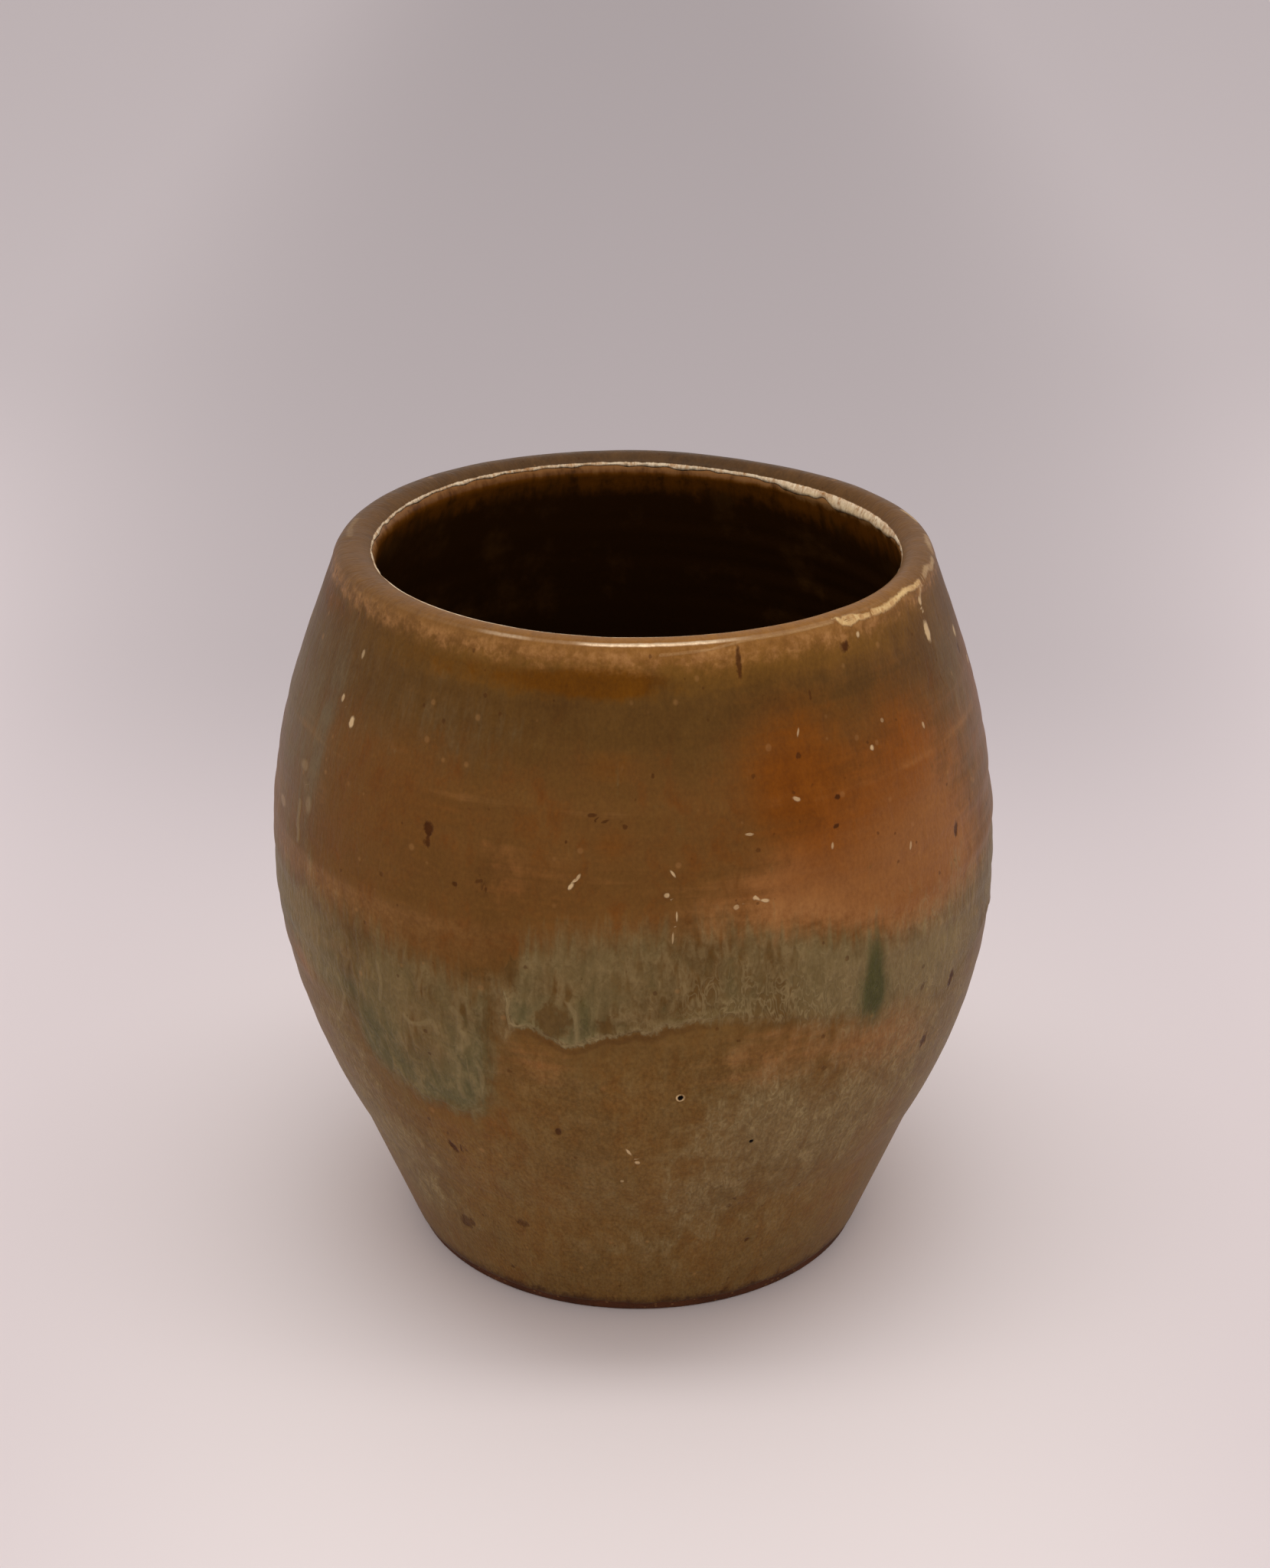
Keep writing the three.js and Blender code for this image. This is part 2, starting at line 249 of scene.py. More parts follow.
PALE_SPECKS = (
    (-52.5, 76.2, 0.47, 0.72, 8, 1.0), (-56.6, 78.1, 0.3, 0.47, 10, 0.75), (-54.4, 83.4, 0.32, 0.57, 4, 0.5),
    (-60.5, 64.6, 0.9, 1.1, 0, 0.14), (64.3, 84.0, 0.65, 1.15, 3, 1.0), (65, 87.4, 0.35, 0.5, 0, 0.7),
    (79, 80.8, 0.6, 0.8, 0, 0.6), (-72, 61.6, 1.4, 0.6, 0, 0.2), (-64, 68.4, 1.1, 0.7, 0, 0.14),
    (-9.0, 64.6, 0.23, 0.47, 32, 1.0), (-7.9, 65.7, 0.17, 0.38, 30, 0.7), (5.8, 66.2, 0.15, 0.47, -35, 0.9),
    (5.0, 63.8, 0.3, 0.26, 0, 0.8), (6.3, 61.5, 0.12, 0.61, 0, 0.75), (5.7, 59.0, 0.12, 0.68, 4, 0.6),
    (18.0, 62.7, 0.32, 0.23, -20, 0.9), (19.4, 62.2, 0.55, 0.21, 12, 0.85), (15.0, 61.9, 0.3, 0.26, 0, 0.6),
    (17.5, 69.7, 0.55, 0.17, 6, 0.6), (25.6, 72.6, 0.50, 0.24, 28, 0.7), (27.4, 79.4, 0.16, 0.5, 18, 0.55),
    (41.1, 75.7, 0.30, 0.30, 0, 0.95), (44.5, 78.1, 0.24, 0.24, 0, 0.4), (54.6, 75.5, 0.24, 0.42, -14, 0.6),
    (31.0, 66.7, 0.18, 0.4, 14, 0.6), (46.4, 63.5, 0.18, 0.5, 14, 0.6), (-1.4, 30.1, 0.21, 0.65, -30, 0.8),
    (0.0, 28.3, 0.3, 0.26, 20, 0.8), (43.4, 87.5, 0.34, 0.4, 0, 0.8), (-2.6, 25.0, 0.23, 0.23, 0, 0.4),
    (84, 76, 0.38, 0.61, 0, 0.9), (99, 64, 0.3, 0.46, 20, 0.8), (118, 80, 0.3, 0.38, 0, 0.8),
    (133, 62, 0.38, 0.3, 10, 0.8), (141, 73, 0.23, 0.46, 30, 0.8), (158, 66, 0.38, 0.3, 0, 0.8),
    (172, 81, 0.3, 0.53, 0, 0.9), (183, 63, 0.23, 0.38, 0, 0.8), (202, 72, 0.38, 0.38, 0, 0.9),
    (219, 79, 0.3, 0.46, 12, 0.8), (236, 64, 0.38, 0.3, 0, 0.8), (252, 75, 0.3, 0.38, 0, 0.8),
    (270, 80, 0.3, 0.61, 0, 0.8), (112, 28, 0.23, 0.61, 30, 0.7), (192, 24, 0.3, 0.3, 0, 0.7),
    (247, 27, 0.23, 0.53, -20, 0.7),
)
DARK_SPECKS = (
    (-32.1, 68.4, 0.7, 0.8, 0, 1.1), (-31.9, 67.0, 0.36, 0.8, -4, 0.9), (32.8, 71.8, 0.36, 0.28, 0, 1.0),
    (32.0, 68.7, 0.43, 0.26, -10, 0.95), (26.8, 77.0, 0.34, 0.34, 0, 0.7), (-6.2, 72.4, 0.53, 0.26, -8, 0.8),
    (-4.2, 71.8, 0.52, 0.15, -20, 0.7), (-1.2, 71.3, 0.29, 0.29, 0, 0.7), (3.0, 76.5, 0.19, 0.28, 0, 0.7),
    (-26.8, 63.0, 0.43, 0.29, 0, 0.85), (-22.9, 63.9, 0.53, 0.22, -20, 0.6),
    (-21.9, 63.0, 0.36, 0.29, 0, 0.7), (-9.9, 69.4, 0.17, 0.29, 10, 0.7), (59.3, 61.9, 0.6, 1.0, 0, 0.95),
    (39.8, 86.75, 0.7, 0.8, -10, 1.5), (18.2, 87.1, 0.38, 2.2, 0, 0.9), (30.6, 82.8, 0.17, 0.69, 0, 0.6),
    (58.0, 43.2, 0.6, 1.2, 20, 1.0), (52.6, 36.2, 0.75, 1.0, 12, 0.95), (-33.2, 26.0, 0.5, 1.0, -35, 1.1),
    (-30.6, 26.3, 0.26, 0.52, -20, 0.4), (-12.4, 32.6, 0.33, 0.53, 12, 0.8),
    (-38.4, 10.9, 1.5, 1.1, -30, 0.7), (-23.5, 14.4, 0.9, 0.6, 12, 0.7), (23.3, 11.4, 0.31, 0.34, 0, 0.8),
    (-43.4, 55.0, 0.19, 0.29, 0, 0.6), (-40.3, 61.6, 0.36, 0.36, 0, 0.5), (-29.6, 5.0, 0.36, 0.29, 0, 0.6),
    (49, 45, 0.34, 0.6, 20, 0.6), (17.2, 18.8, 0.34, 0.53, 0, 0.5), (29.6, 39.2, 0.34, 0.34, 0, 0.5),
    (78, 79, 0.43, 0.6, 0, 0.9), (95, 60, 0.34, 0.69, 0, 0.8), (110, 68, 0.43, 0.34, 0, 0.9),
    (126, 66, 0.34, 0.6, 10, 0.9), (147, 79, 0.43, 0.52, 0, 0.9), (161, 61, 0.34, 0.34, 0, 0.8),
    (176, 70, 0.52, 0.77, 0, 1.0), (190, 66, 0.34, 0.34, 0, 0.8), (210, 64, 0.43, 0.26, 0, 0.8),
    (229, 69, 0.34, 0.52, 0, 0.9), (243, 81, 0.34, 0.77, 0, 0.9), (262, 64, 0.43, 0.34, 0, 0.8),
    (105, 22, 0.43, 0.77, 20, 0.7), (165, 15, 0.77, 0.6, 20, 0.5), (218, 20, 0.34, 0.69, -20, 0.7),
    (255, 33, 0.34, 0.43, 0, 0.8), (131, 12, 0.34, 0.34, 0, 0.7),
)
# Ropes of pale glaze: half-width, strength, then points of angle and height, or, on the lip, of angle and
# distance past its turn
WALL_ROPES = (
    (0.24, 0.9, (-19.1, 51.7), (-18.1, 50.5), (-18.5, 49.1), (-18.5, 47.8), (-18.0, 47.2), (-16.4, 47.5)),
    (0.34, 0.5, (-8.6, 45.6), (-8.3, 47.2), (-8.5, 49.8), (-9.6, 51.0)),
    (0.38, 0.45, (-36.4, 44.9), (-35.6, 44.1), (-33.4, 44.4), (-31.2, 45.4), (-30.4, 44.0)),
    (0.46, 0.45, (-27.2, 47.8), (-26.2, 47.0), (-26.4, 45.4), (-25.2, 43.9), (-26.6, 42.6)),
    (0.36, 0.35, (-28.4, 42.0), (-27.4, 40.2), (-28.2, 37.4), (-27.6, 35.4)),
    (0.30, 0.45, (-24.4, 41.4), (-23.6, 39.6), (-24.0, 37.0)),
    (0.26, 0.45, (-41.0, 50.6), (-40.4, 48.0), (-41.2, 45.6)),
    (0.45, 0.5, (-63.6, 64.0), (-63.6, 61.4), (-62.8, 59.6)),
    (0.30, 0.4, (-54.2, 38.6), (-51.6, 41.2), (-50.2, 43.4), (-51.4, 45.8)),
    (0.30, 0.8, (148.0, 38.4), (149.2, 40.8), (148.4, 43.2), (150.2, 45.4)),
    (0.28, 0.7, (94.6, 40.2), (95.4, 42.6), (94.4, 44.8)),
)
LIP_ROPES = (
    (0.30, 1.1, (39.7, 1.9), (40.4, 1.2), (42.0, 0.9), (44.5, 1.15), (47.4, 1.05)),
    (0.26, 0.9, (41.2, 1.7), (43.6, 1.6), (45.0, 1.3)),
    (0.42, 1.1, (48.9, 1.15), (52, 1.0), (55, 1.15), (58.5, 1.4), (61.5, 1.45)),
    (0.34, 0.95, (61.5, 1.45), (64.5, 1.15), (67.5, 1.15)),
    (0.30, 0.5, (67.0, 0.7), (66.0, 0.0), (65.0, -0.8)),
    (0.46, 0.45, (71, 1.2), (74.2, 1.5), (77, 0.9), (81.0, 1.1)),
    (0.50, 0.35, (84.5, 1.3), (88, 1.8), (92.5, 1.6)),
    # This faint thin line on the front of the lip is a painted highlight, laid on as a rope
    (0.16, 0.2, (4.5, 0.7), (13, 1.0), (20, 1.6), (28, 1.6), (38.5, 1.6)),
    (0.42, 0.12, (-101, 2.5), (-96, 2.5), (-90, 2.9)),
    (0.30, 0.6, (101, 1.8), (108, 2.2)),
)
# Burst bubbles: angle, height, radius of the hole, depth, and how pale the ring round it is
PINHOLES = (
    (6.6, 38.4, 0.25, 0.4, 1), (18.6, 30.3, 0.2, 0.2, 0),
    (112, 40.5, 0.24, 0.35, 1), (232, 29, 0.22, 0.3, 0),
)
PIT_RIM = 0.30

# Meshes: columns round each piece, and the steps between rows

COLUMNS = 480
LINER_COLUMNS = 360
CLAY_COLUMNS = 320
# A profile is spun into one sector, and that sector round the pot
SECTORS = 8
WALL_STEP = 1.6
FOOT_STEP = 0.45
# Stands for the distance along the outline on the underside, which the outline leaves out
UNDERNEATH = -1.0
# What is nearer the axis than this counts as on it, and vertices nearer each other than that are joined
ON_AXIS = 0.01
WELD = 0.002
# Rows on the hidden backs of the two outer coats, as shares of their length
BASE_BACK = (2.97, 2.75, 2.5, 2.25, 2, 1.75, 1.5, 1.25, 1, 0.82, 0.64, 0.46, 0.28, 0.1, 0.03, 0.01, 0)
TOP_BACK = (1.93, 1.75, 1.5, 1.25, 1.0, 0.8, 0.6, 0.4, 0.25, 0.15, 0.08, 0.045, 0.02, 0.008)
# Degrees from one value to the next in a ring
RING_STEP = 0.25
# Sheet of distances from the running edge, along the wall, and how many columns it looks to either side
SHEET_START = 24.0
SHEET_END = 72.0
SHEET_STEP = 0.1
SHEET_REACH = 40

# Studio: the camera's lens and sensor are in millimetres, as Blender takes them

FLOOR_RADIUS = 2.5
LAMP_SIZE = (0.70, 0.16)
LAMP_PLACE = (0.03, -0.05, 0.75)
FILL_COLOUR = (1.0, 0.985, 0.985, 1.0)
SENSOR_WIDTH = 36.0
LENS = 62.93
CAMERA_PLACE = (-0.00015, -0.3082, 0.1965)
CAMERA_DOWN = 24.25
CAMERA_ROLL = -0.06


def shade(red, green, blue):
    """A colour given as it looks on screen, 0 to 255, as the linear light that Blender mixes."""
    channels = [value / 255 for value in (red, green, blue)]
    return tuple(c / 12.92 if c <= 0.04045 else ((c + 0.055) / 1.055) ** 2.4 for c in channels)


# Sizes and colours that a user would change


def length_property(name, description, default):
    return bpy.props.FloatProperty(
        name=name, description=description, default=default * MM, min=0.0, subtype="DISTANCE", unit="LENGTH"
    )


def glaze_property(name, description, colour):
    return bpy.props.FloatVectorProperty(
        name=name, description=description, default=shade(*colour), size=3, min=0.0, max=1.0, subtype="COLOR"
    )


class ThrowingSettings(bpy.types.PropertyGroup):
    ring_relief: length_property("Throwing rings", "Height of the spiral rings left by the fingers", 0.055)
    crest_relief: length_property("Finger crest", "Height of the one strong ring at the belly", 0.11)
    rim_wobble: length_property("Rim wobble", "How far the rim rises and falls from level", 0.3)
    lean: length_property("Lean", "How far the top stands off the foot, sideways", 0.1)
    bead_height: length_property("Bead", "How far the running edge of the top coat stands proud", 0.2)
    ragged_foot: length_property("Glaze line wobble", "How far the glaze line wavers above the foot", 0.35)


class GlazeSettings(bpy.types.PropertyGroup):
    brown: glaze_property("Brown", "Base coat on the lower wall", (112, 78, 35))
    rust: glaze_property("Rust", "Middle of the shoulder, where both coats melted together", (109, 71, 30))
    orange: glaze_property("Orange", "Glassy orange clouds", (118, 60, 2))
    salmon: glaze_property("Salmon", "Lighter clouds where the coats lie thin", (146, 93, 49))
    moss: glaze_property("Moss", "Greener patches of the base coat", (97, 76, 42))
    haze: glaze_property("Haze", "Thin grey-green curds over the base coat", (127, 105, 71))
    olive: glaze_property("Olive", "Band round the shoulder", (87, 58, 21))
    amber: glaze_property("Amber", "Glaze pooled under the lip", (96, 54, 0))
    green_grey: glaze_property("Green-grey", "Running band at the belly", (109, 90, 55))
    sage: glaze_property("Sage", "Tongue of the running band", (84, 81, 52))
    pale_streak: glaze_property("Pale streaks", "Curdled streaks in the running band", (140, 119, 81))
    teal: glaze_property("Teal", "Drips of thick glass", (54, 58, 24))
    pane: glaze_property("Clear brown", "Windows of clear glaze in the band", (86, 60, 26))
    # Ash-grey glaze, which at the sides near 70 degrees from the front also paints the sheen of grazing
    # reflection
    ash: glaze_property("Ash", "Grey streaks down the flanks", (100, 87, 64))
    honey: glaze_property("Honey", "Clear glaze below the break on the lip", (118, 79, 25))
    buff: glaze_property("Buff", "Mottled break on the lip", (172, 122, 72))
    # Cream also paints the highlight along the ridge of the lip
    cream: glaze_property("Cream", "Thin line at the inner edge of the lip", (238, 214, 180))
    # Painted light: a lighter copy of the cream, laid on the drips that face into the pot as if they were
    # lit
    painted_lit_cream: glaze_property("Cream drips", "Thick cream glaze that hangs from that line", (240, 208, 160))
    gold: glaze_property("Gold", "Ropes of pale glaze on the lip", (224, 188, 130))
    speck: glaze_property("Pale specks", "Crumbs in the glaze", (216, 184, 138))
    # Iron also paints the shadow under the running edge
    iron: glaze_property("Iron", "Dark specks", (66, 32, 4))
    # Painted shade: the near-black inside of each pinhole
    hole: glaze_property("Pinholes", "Inside of a burst bubble", (16, 7, 2))
    lip_front: glaze_property("Lip, front", "Flat of the lip where it is warmest", (137, 91, 41))
    lip_back: glaze_property("Lip, back", "Flat of the lip where it is darkest", (62, 45, 30))
    liner: glaze_property("Liner", "Glaze deep inside", (46, 25, 5))
    liner_amber: glaze_property("Liner, thin", "Amber glaze just under the lip, inside", (98, 54, 8))
    clay: glaze_property("Fired clay", "Bare clay of the foot", (60, 30, 14))
    pale_clay: glaze_property("Fired clay, pale", "Lighter clouds in the bare clay", (92, 50, 24))


class StudioSettings(bpy.types.PropertyGroup):
    # The floor tones paint the fall of light over even paper: brightest before the pot, darker to the sides
    # and far behind
    floor: glaze_property("Floor", "Pale paper before the pot", (232, 220, 218))
    floor_side: glaze_property("Floor, sides", "Pale paper beside the pot", (220, 207, 207))
    floor_middle: glaze_property("Floor, middle", "Pale paper behind the pot", (229, 216, 217))
    floor_far: glaze_property("Floor, far", "Pale paper far behind", (199, 188, 189))
    # Painted light: warm light bounced from the pot onto the paper round its foot
    floor_painted_bounce: glaze_property("Floor, at the foot", "Paper that the pot tints", (216, 192, 180))
    # Painted shadow of the pot on the paper behind it
    floor_painted_shadow: glaze_property("Floor, shaded", "Duller patch of paper behind the pot", (176, 166, 167))
    sky: bpy.props.FloatProperty(name="Fill", description="Light from all round", default=0.85, min=0.0)
    lamp: bpy.props.FloatProperty(
        name="Overhead lamp", description="Power of the soft box above", default=1.5, min=0.0,
        subtype="POWER", unit="POWER",
    )


# The skin: the finished surface from the foot over the lip and down to the middle of the floor


def between(start, end, share):
    return tuple(np.add(start, np.subtract(end, start) * share))


def leaning(point, degrees, reach, down=False):
    """The place at some distance from a point, up or down a line that leans outwards."""
    angle = math.radians(degrees)
    return point[0] + reach * math.sin(angle), point[1] + (-reach if down else reach) * math.cos(angle)


def moved(point, across, up):
    return point[0] + across, point[1] + up


def curve(start, first_handle, second_handle, end, count=64):
    points = [Vector(p).to_3d() for p in (start, first_handle, second_handle, end)]
    return [(p.x, p.y) for p in geometry.interpolate_bezier(*points, count)]


def outline():
    """The curves of the finished outline, each ending at the mark that is named with it."""
    return {
        "turned": curve(FOOT, between(FOOT, TURNED, 1 / 3), between(FOOT, TURNED, 2 / 3), TURNED),
        "belly": curve(TURNED, leaning(TURNED, FLARE_ANGLE, FLARE_REACH),
                       moved(BELLY, 0, -LOWER_FULLNESS), BELLY),
        "lip": curve(BELLY, moved(BELLY, 0, UPPER_FULLNESS), leaning(LIP, LIP_LEAN, LIP_REACH, True), LIP),
        "crest": curve(LIP, leaning(LIP, -LIP_LEAN, LIP_ROUNDING), moved(CREST, CREST_OUTWARD, 0), CREST),
        "mouth": curve(CREST, moved(CREST, -CREST_INWARD, 0), moved(MOUTH, 0, LIP_ROUNDING), MOUTH),
        "inner_belly": curve(MOUTH, leaning(MOUTH, LIP_LEAN, INNER_LIP_REACH, True),
                             moved(INNER_BELLY, 0, INNER_UPPER_FULLNESS), INNER_BELLY),
        "floor_edge": curve(INNER_BELLY, moved(INNER_BELLY, 0, -INNER_LOWER_FULLNESS),
                            moved(FLOOR_EDGE, FLOOR_FULLNESS, 0), FLOOR_EDGE),
        "middle": curve(FLOOR_EDGE, moved(FLOOR_EDGE, -FLOOR_FLATNESS, 0),
                        moved(FLOOR_MIDDLE, FLOOR_FLATNESS, 0), FLOOR_MIDDLE),
    }


class Skin:
    """Points along the finished outline, with the distance along it and the way that faces off the pot."""

    def __init__(self):
        points, ends = [FOOT], {}
        for name, span in outline().items():
            points.extend(span[1:])
            ends[name] = len(points) - 1
        self.points = np.array(points)
        steps = np.hypot(*np.diff(self.points, axis=0).T)
        self.along = np.concatenate(([0.0], np.cumsum(steps)))
        slope = np.gradient(self.points, self.along, axis=0)
        slope /= np.hypot(slope[:, 0], slope[:, 1])[:, None]
        self.out = np.stack([slope[:, 1], -slope[:, 0]], axis=1)
        self.mark = {name: float(self.along[end]) for name, end in ends.items()}
        wall = self.along <= self.mark["lip"]
        self.wall_heights = self.points[wall, 1]
        self.wall_along = self.along[wall]

    def at_height(self, height):
        return np.interp(height, self.wall_heights, self.wall_along)

    def place(self, along, lift):
        radius, height, outward, upward = (
            np.interp(along, self.along, row) for row in (*self.points.T, *self.out.T)
        )
        return np.maximum(radius + lift * outward, 0.0), height + lift * upward

    def height(self, along):
        return np.interp(along, self.along, self.points[:, 1])


SKIN = Skin()
FULL_COAT = SKIN.at_height(FULL_COAT_HEIGHT)
COAT_LINE = SKIN.at_height(BARE_FOOT)
SURFACE_ANGLES = np.arange(-180, 180, RING_STEP)


def wrap(angle):
    return (np.asarray(angle) + 180) % 360 - 180


def smooth(low, high, value):
    share = np.clip((np.asarray(value, float) - low) / (high - low), 0, 1)
    return share * share * (3 - 2 * share)


def bump(value, centre, width):
    return np.exp(-(((value - centre) / width) ** 2))


def round_table(table):
    """A table of angle and value, closed into a smooth ring."""
    angles, values = np.array(table, float).T
    angles = np.concatenate((angles - 360, angles, angles + 360))
    wide = np.arange(-200, 200, RING_STEP)
    sampled = np.interp(wide, angles, np.tile(values, 3))
    soft = np.convolve(sampled, np.array([1, 2, 3, 2, 1]) / 9, mode="same")
    return np.interp(SURFACE_ANGLES, wide, soft)


def on_ring(ring, angle):
    return np.interp(wrap(angle), SURFACE_ANGLES, ring, period=360)


def wobble(angle, size, seed):
    """Smooth noise that closes on itself round the pot; size is the length of one bump in degrees."""
    reach = 360 / size / math.tau
    turns = [math.radians(a) for a in SURFACE_ANGLES]
    ring = np.array([noise.noise((reach * math.sin(turn), reach * math.cos(turn), seed)) for turn in turns])
    return on_ring(ring, angle)


RINGS = {name: round_table(table) for name, table in RING_TABLES.items()}
BAND_RING = round_table(BAND_TOP)
CREST_RING = round_table(FINGER_CREST)
EDGE_RING = round_table(RUNNING_EDGE)
for ripple_height, ripple_length, ripple_seed in EDGE_RIPPLES:
    EDGE_RING = EDGE_RING + ripple_height * wobble(SURFACE_ANGLES, ripple_length, ripple_seed)


def edge_distances():
    """Distance from the running edge over a sheet of angle and place along the wall, below 0 under it."""
    edge = SKIN.at_height(EDGE_RING)
    after = np.roll(edge, -1)
    low, high = np.minimum(edge, after), np.maximum(edge, after)
    steps = np.arange(SHEET_START, SHEET_END, SHEET_STEP)[None, :]
    column_width = math.radians(RING_STEP) * BELLY[0]
    nearest = np.abs(steps - edge[:, None])
    for shift in range(-SHEET_REACH, SHEET_REACH + 1):
        gap = np.maximum(steps - np.roll(high, shift)[:, None], np.roll(low, shift)[:, None] - steps)
        nearest = np.minimum(nearest, np.hypot(shift * column_width, np.maximum(gap, 0)))
    return nearest * np.sign(steps - edge[:, None])


EDGE_DISTANCE = edge_distances()


def above_edge(angle, along):
    """Distance up the wall from the running edge, to the nearest point of that edge."""
    across = (wrap(angle) + 180) / RING_STEP
    up = np.clip((along - SHEET_START) / SHEET_STEP, 0, EDGE_DISTANCE.shape[1] - 1.001)
    left, low = np.floor(across).astype(int), np.floor(up).astype(int)
    x, y = across - left, up - low
    columns = len(SURFACE_ANGLES)
    first, second = (
        EDGE_DISTANCE[column % columns, low] * (1 - y) + EDGE_DISTANCE[column % columns, low + 1] * y
        for column in (left, left + 1)
    )
    return first * (1 - x) + second * x + (along - SHEET_START - up * SHEET_STEP)


def relief(settings, angle, along):
    """How far the thrown wall stands off its smooth outline."""
    turn = np.radians(angle)
    lip, crest, mouth, middle = (SKIN.mark[name] for name in ("lip", "crest", "mouth", "middle"))
    outside = 1 - smooth(lip - 4, lip, along)
    inside = smooth(mouth + 2, mouth + 12, along)
    inside *= 1 - smooth(middle - 6, middle, along)
    rings = np.sin(math.tau * along / COARSE_RINGS + turn)
    rings = rings + 0.6 * np.sin(math.tau * along / FINE_RINGS + 2 * turn + 1)
    rings *= 0.6 + 0.4 * np.sin(along / 11 + 2 * turn)
    lift = settings.ring_relief / MM * rings * (outside * smooth(10, 60, along) + 2.0 * inside)
    from_crest = along - SKIN.at_height(on_ring(CREST_RING, angle))
    ridge = bump(from_crest, 0, 1.3) - 0.6 * bump(from_crest, 3.2, 1.8)
    lift += settings.crest_relief / MM * ridge * outside
    from_second = along - SKIN.at_height(SECOND_CREST + 0.5 * np.sin(turn))
    lift += 0.5 * settings.crest_relief / MM * bump(from_second, 0, 1.0) * outside
    lift += 0.10 * wobble(angle, 38, 5.5) * outside
    over_lip = smooth(lip - 3, lip, along) * (1 - smooth(mouth, mouth + 8, along))
    lift += over_lip * (0.10 * wobble(angle, 24, 1.5) + 0.05 * wobble(angle, 7, 9.5))
    at_mouth = smooth(crest - 0.5, mouth, along) * (1 - smooth(mouth + 8, mouth + 30, along))
    return lift - MOUTH_OFFSET * np.sin(turn) * at_mouth


def one_degree(along):
    """How long one degree is round the pot."""
    return math.radians(1) * SKIN.place(along, 0)[0]


def away_from(at, height, angle, along):
    """Distance over the wall from the spot at an angle and a height."""
    level = SKIN.at_height(height)
    return np.hypot(wrap(angle - at) * one_degree(level), along - level)


def pits(angle, along):
    """Depth of the pinholes, less the little rim that a burst bubble leaves."""
    lift = np.zeros_like(np.asarray(along, float))
    for at, height, radius, depth, _ in PINHOLES:
        away = away_from(at, height, angle, along)
        lift -= depth * (1 - smooth(radius * 0.6, radius * 1.15, away))
        lift += 0.25 * PIT_RIM * depth * bump(away, radius * 1.75, radius * 0.55)
    return lift


def drift(height):
    """The pot is not quite straight: its foot stands a little to the right, its belly to the left."""
    return 0.30 - 0.55 * smooth(26, 62, height) + 0.18 * smooth(62, 90, height)


def off_axis(settings, height):
    """How far to the left the pot has strayed from its axis at a height."""
    return settings.lean / MM * (height / CREST[1] - 0.5) - drift(height)


def bend(settings, angle, radius, height):
    """The pot as it stands: its rim a little wavy and its top a little to one side."""
    turn = np.radians(angle)
    wave = sum(rise * bump(wrap(angle - at), 0, spread) for rise, at, spread in RIM_WAVES)
    height = height + settings.rim_wobble / MM * wave * smooth(55, 89, height)
    x = radius * np.sin(turn) - off_axis(settings, height)
    return np.stack([x, -radius * np.cos(turn), height], axis=1)


# Turning a profile into a closed piece


def spun(name, profile, columns):
    """Spins a profile of (along, lift), or of these and a rough radius and height, round the axis.

    Each vertex keeps the first two numbers, to be draped by.
    """
    shape = bmesh.new()
    along_layer = shape.verts.layers.float.new("along")
    lift_layer = shape.verts.layers.float.new("lift")
    line = []
    for along, lift, *rough in profile:
        radius, height = rough or SKIN.place(along, lift)
        vertex = shape.verts.new((float(radius), 0, float(height)))
        vertex[along_layer] = along
        vertex[lift_layer] = lift
        line.append(vertex)
    for first, second in zip(line, line[1:]):
        shape.edges.new((first, second))
    if line[0].co.x > ON_AXIS:
        shape.edges.new((line[-1], line[0]))
    axis = {"cent": (0, 0, 0), "axis": (0, 0, 1), "dvec": (0, 0, 0)}
    bmesh.ops.spin(shape, geom=shape.verts[:] + shape.edges[:], angle=math.tau / SECTORS,
                   steps=columns // SECTORS, use_merge=False, use_duplicate=False, **axis)
    bmesh.ops.spin(shape, geom=shape.verts[:] + shape.edges[:] + shape.faces[:], angle=math.tau,
                   steps=SECTORS, use_merge=True, use_duplicate=True, **axis)
    bmesh.ops.remove_doubles(shape, verts=shape.verts[:], dist=WELD)
    bmesh.ops.recalc_face_normals(shape, faces=shape.faces[:])
    mesh = bpy.data.meshes.new(name)
    shape.to_mesh(mesh)
    shape.free()
    return mesh


def column(mesh, name):
    values = np.zeros(len(mesh.vertices), np.float32)
    mesh.attributes[name].data.foreach_get("value", values)
    return values.astype(float)


def positions(mesh):
    places = np.zeros(len(mesh.vertices) * 3, np.float32)
    mesh.vertices.foreach_get("co", places)
    return places.reshape(-1, 3).astype(float)


def move_to(mesh, places):
    mesh.vertices.foreach_set("co", np.asarray(places, np.float32).ravel())
    mesh.update()


def keep(mesh, name, values):
    """Keeps a number or a vector for each vertex, for the materials to read."""
    values = np.asarray(values, np.float32)
    kind, part = ("FLOAT", "value") if values.ndim == 1 else ("FLOAT_VECTOR", "vector")
    attribute = mesh.attributes.new(name, kind, "POINT")
    attribute.data.foreach_set(part, values.ravel())


def angles_of(places):
    return np.degrees(np.arctan2(places[:, 0], -places[:, 1]))


def refine(mesh, spots, reach, cuts):
    """Splits the faces near small details into finer ones."""
    shape = bmesh.new()
    shape.from_mesh(mesh)
    for at, height in spots:
        radius, level = SKIN.place(SKIN.at_height(height), 0)
        turn = math.radians(at)
        centre = Vector((radius * math.sin(turn), -radius * math.cos(turn), level))
        near = [f for f in shape.faces if (f.calc_center_median() - centre).length < reach]
        edges = list({edge for face in near for edge in face.edges})
        bmesh.ops.subdivide_edges(shape, edges=edges, cuts=cuts, use_grid_fill=True)
    shape.to_mesh(mesh)
    shape.free()


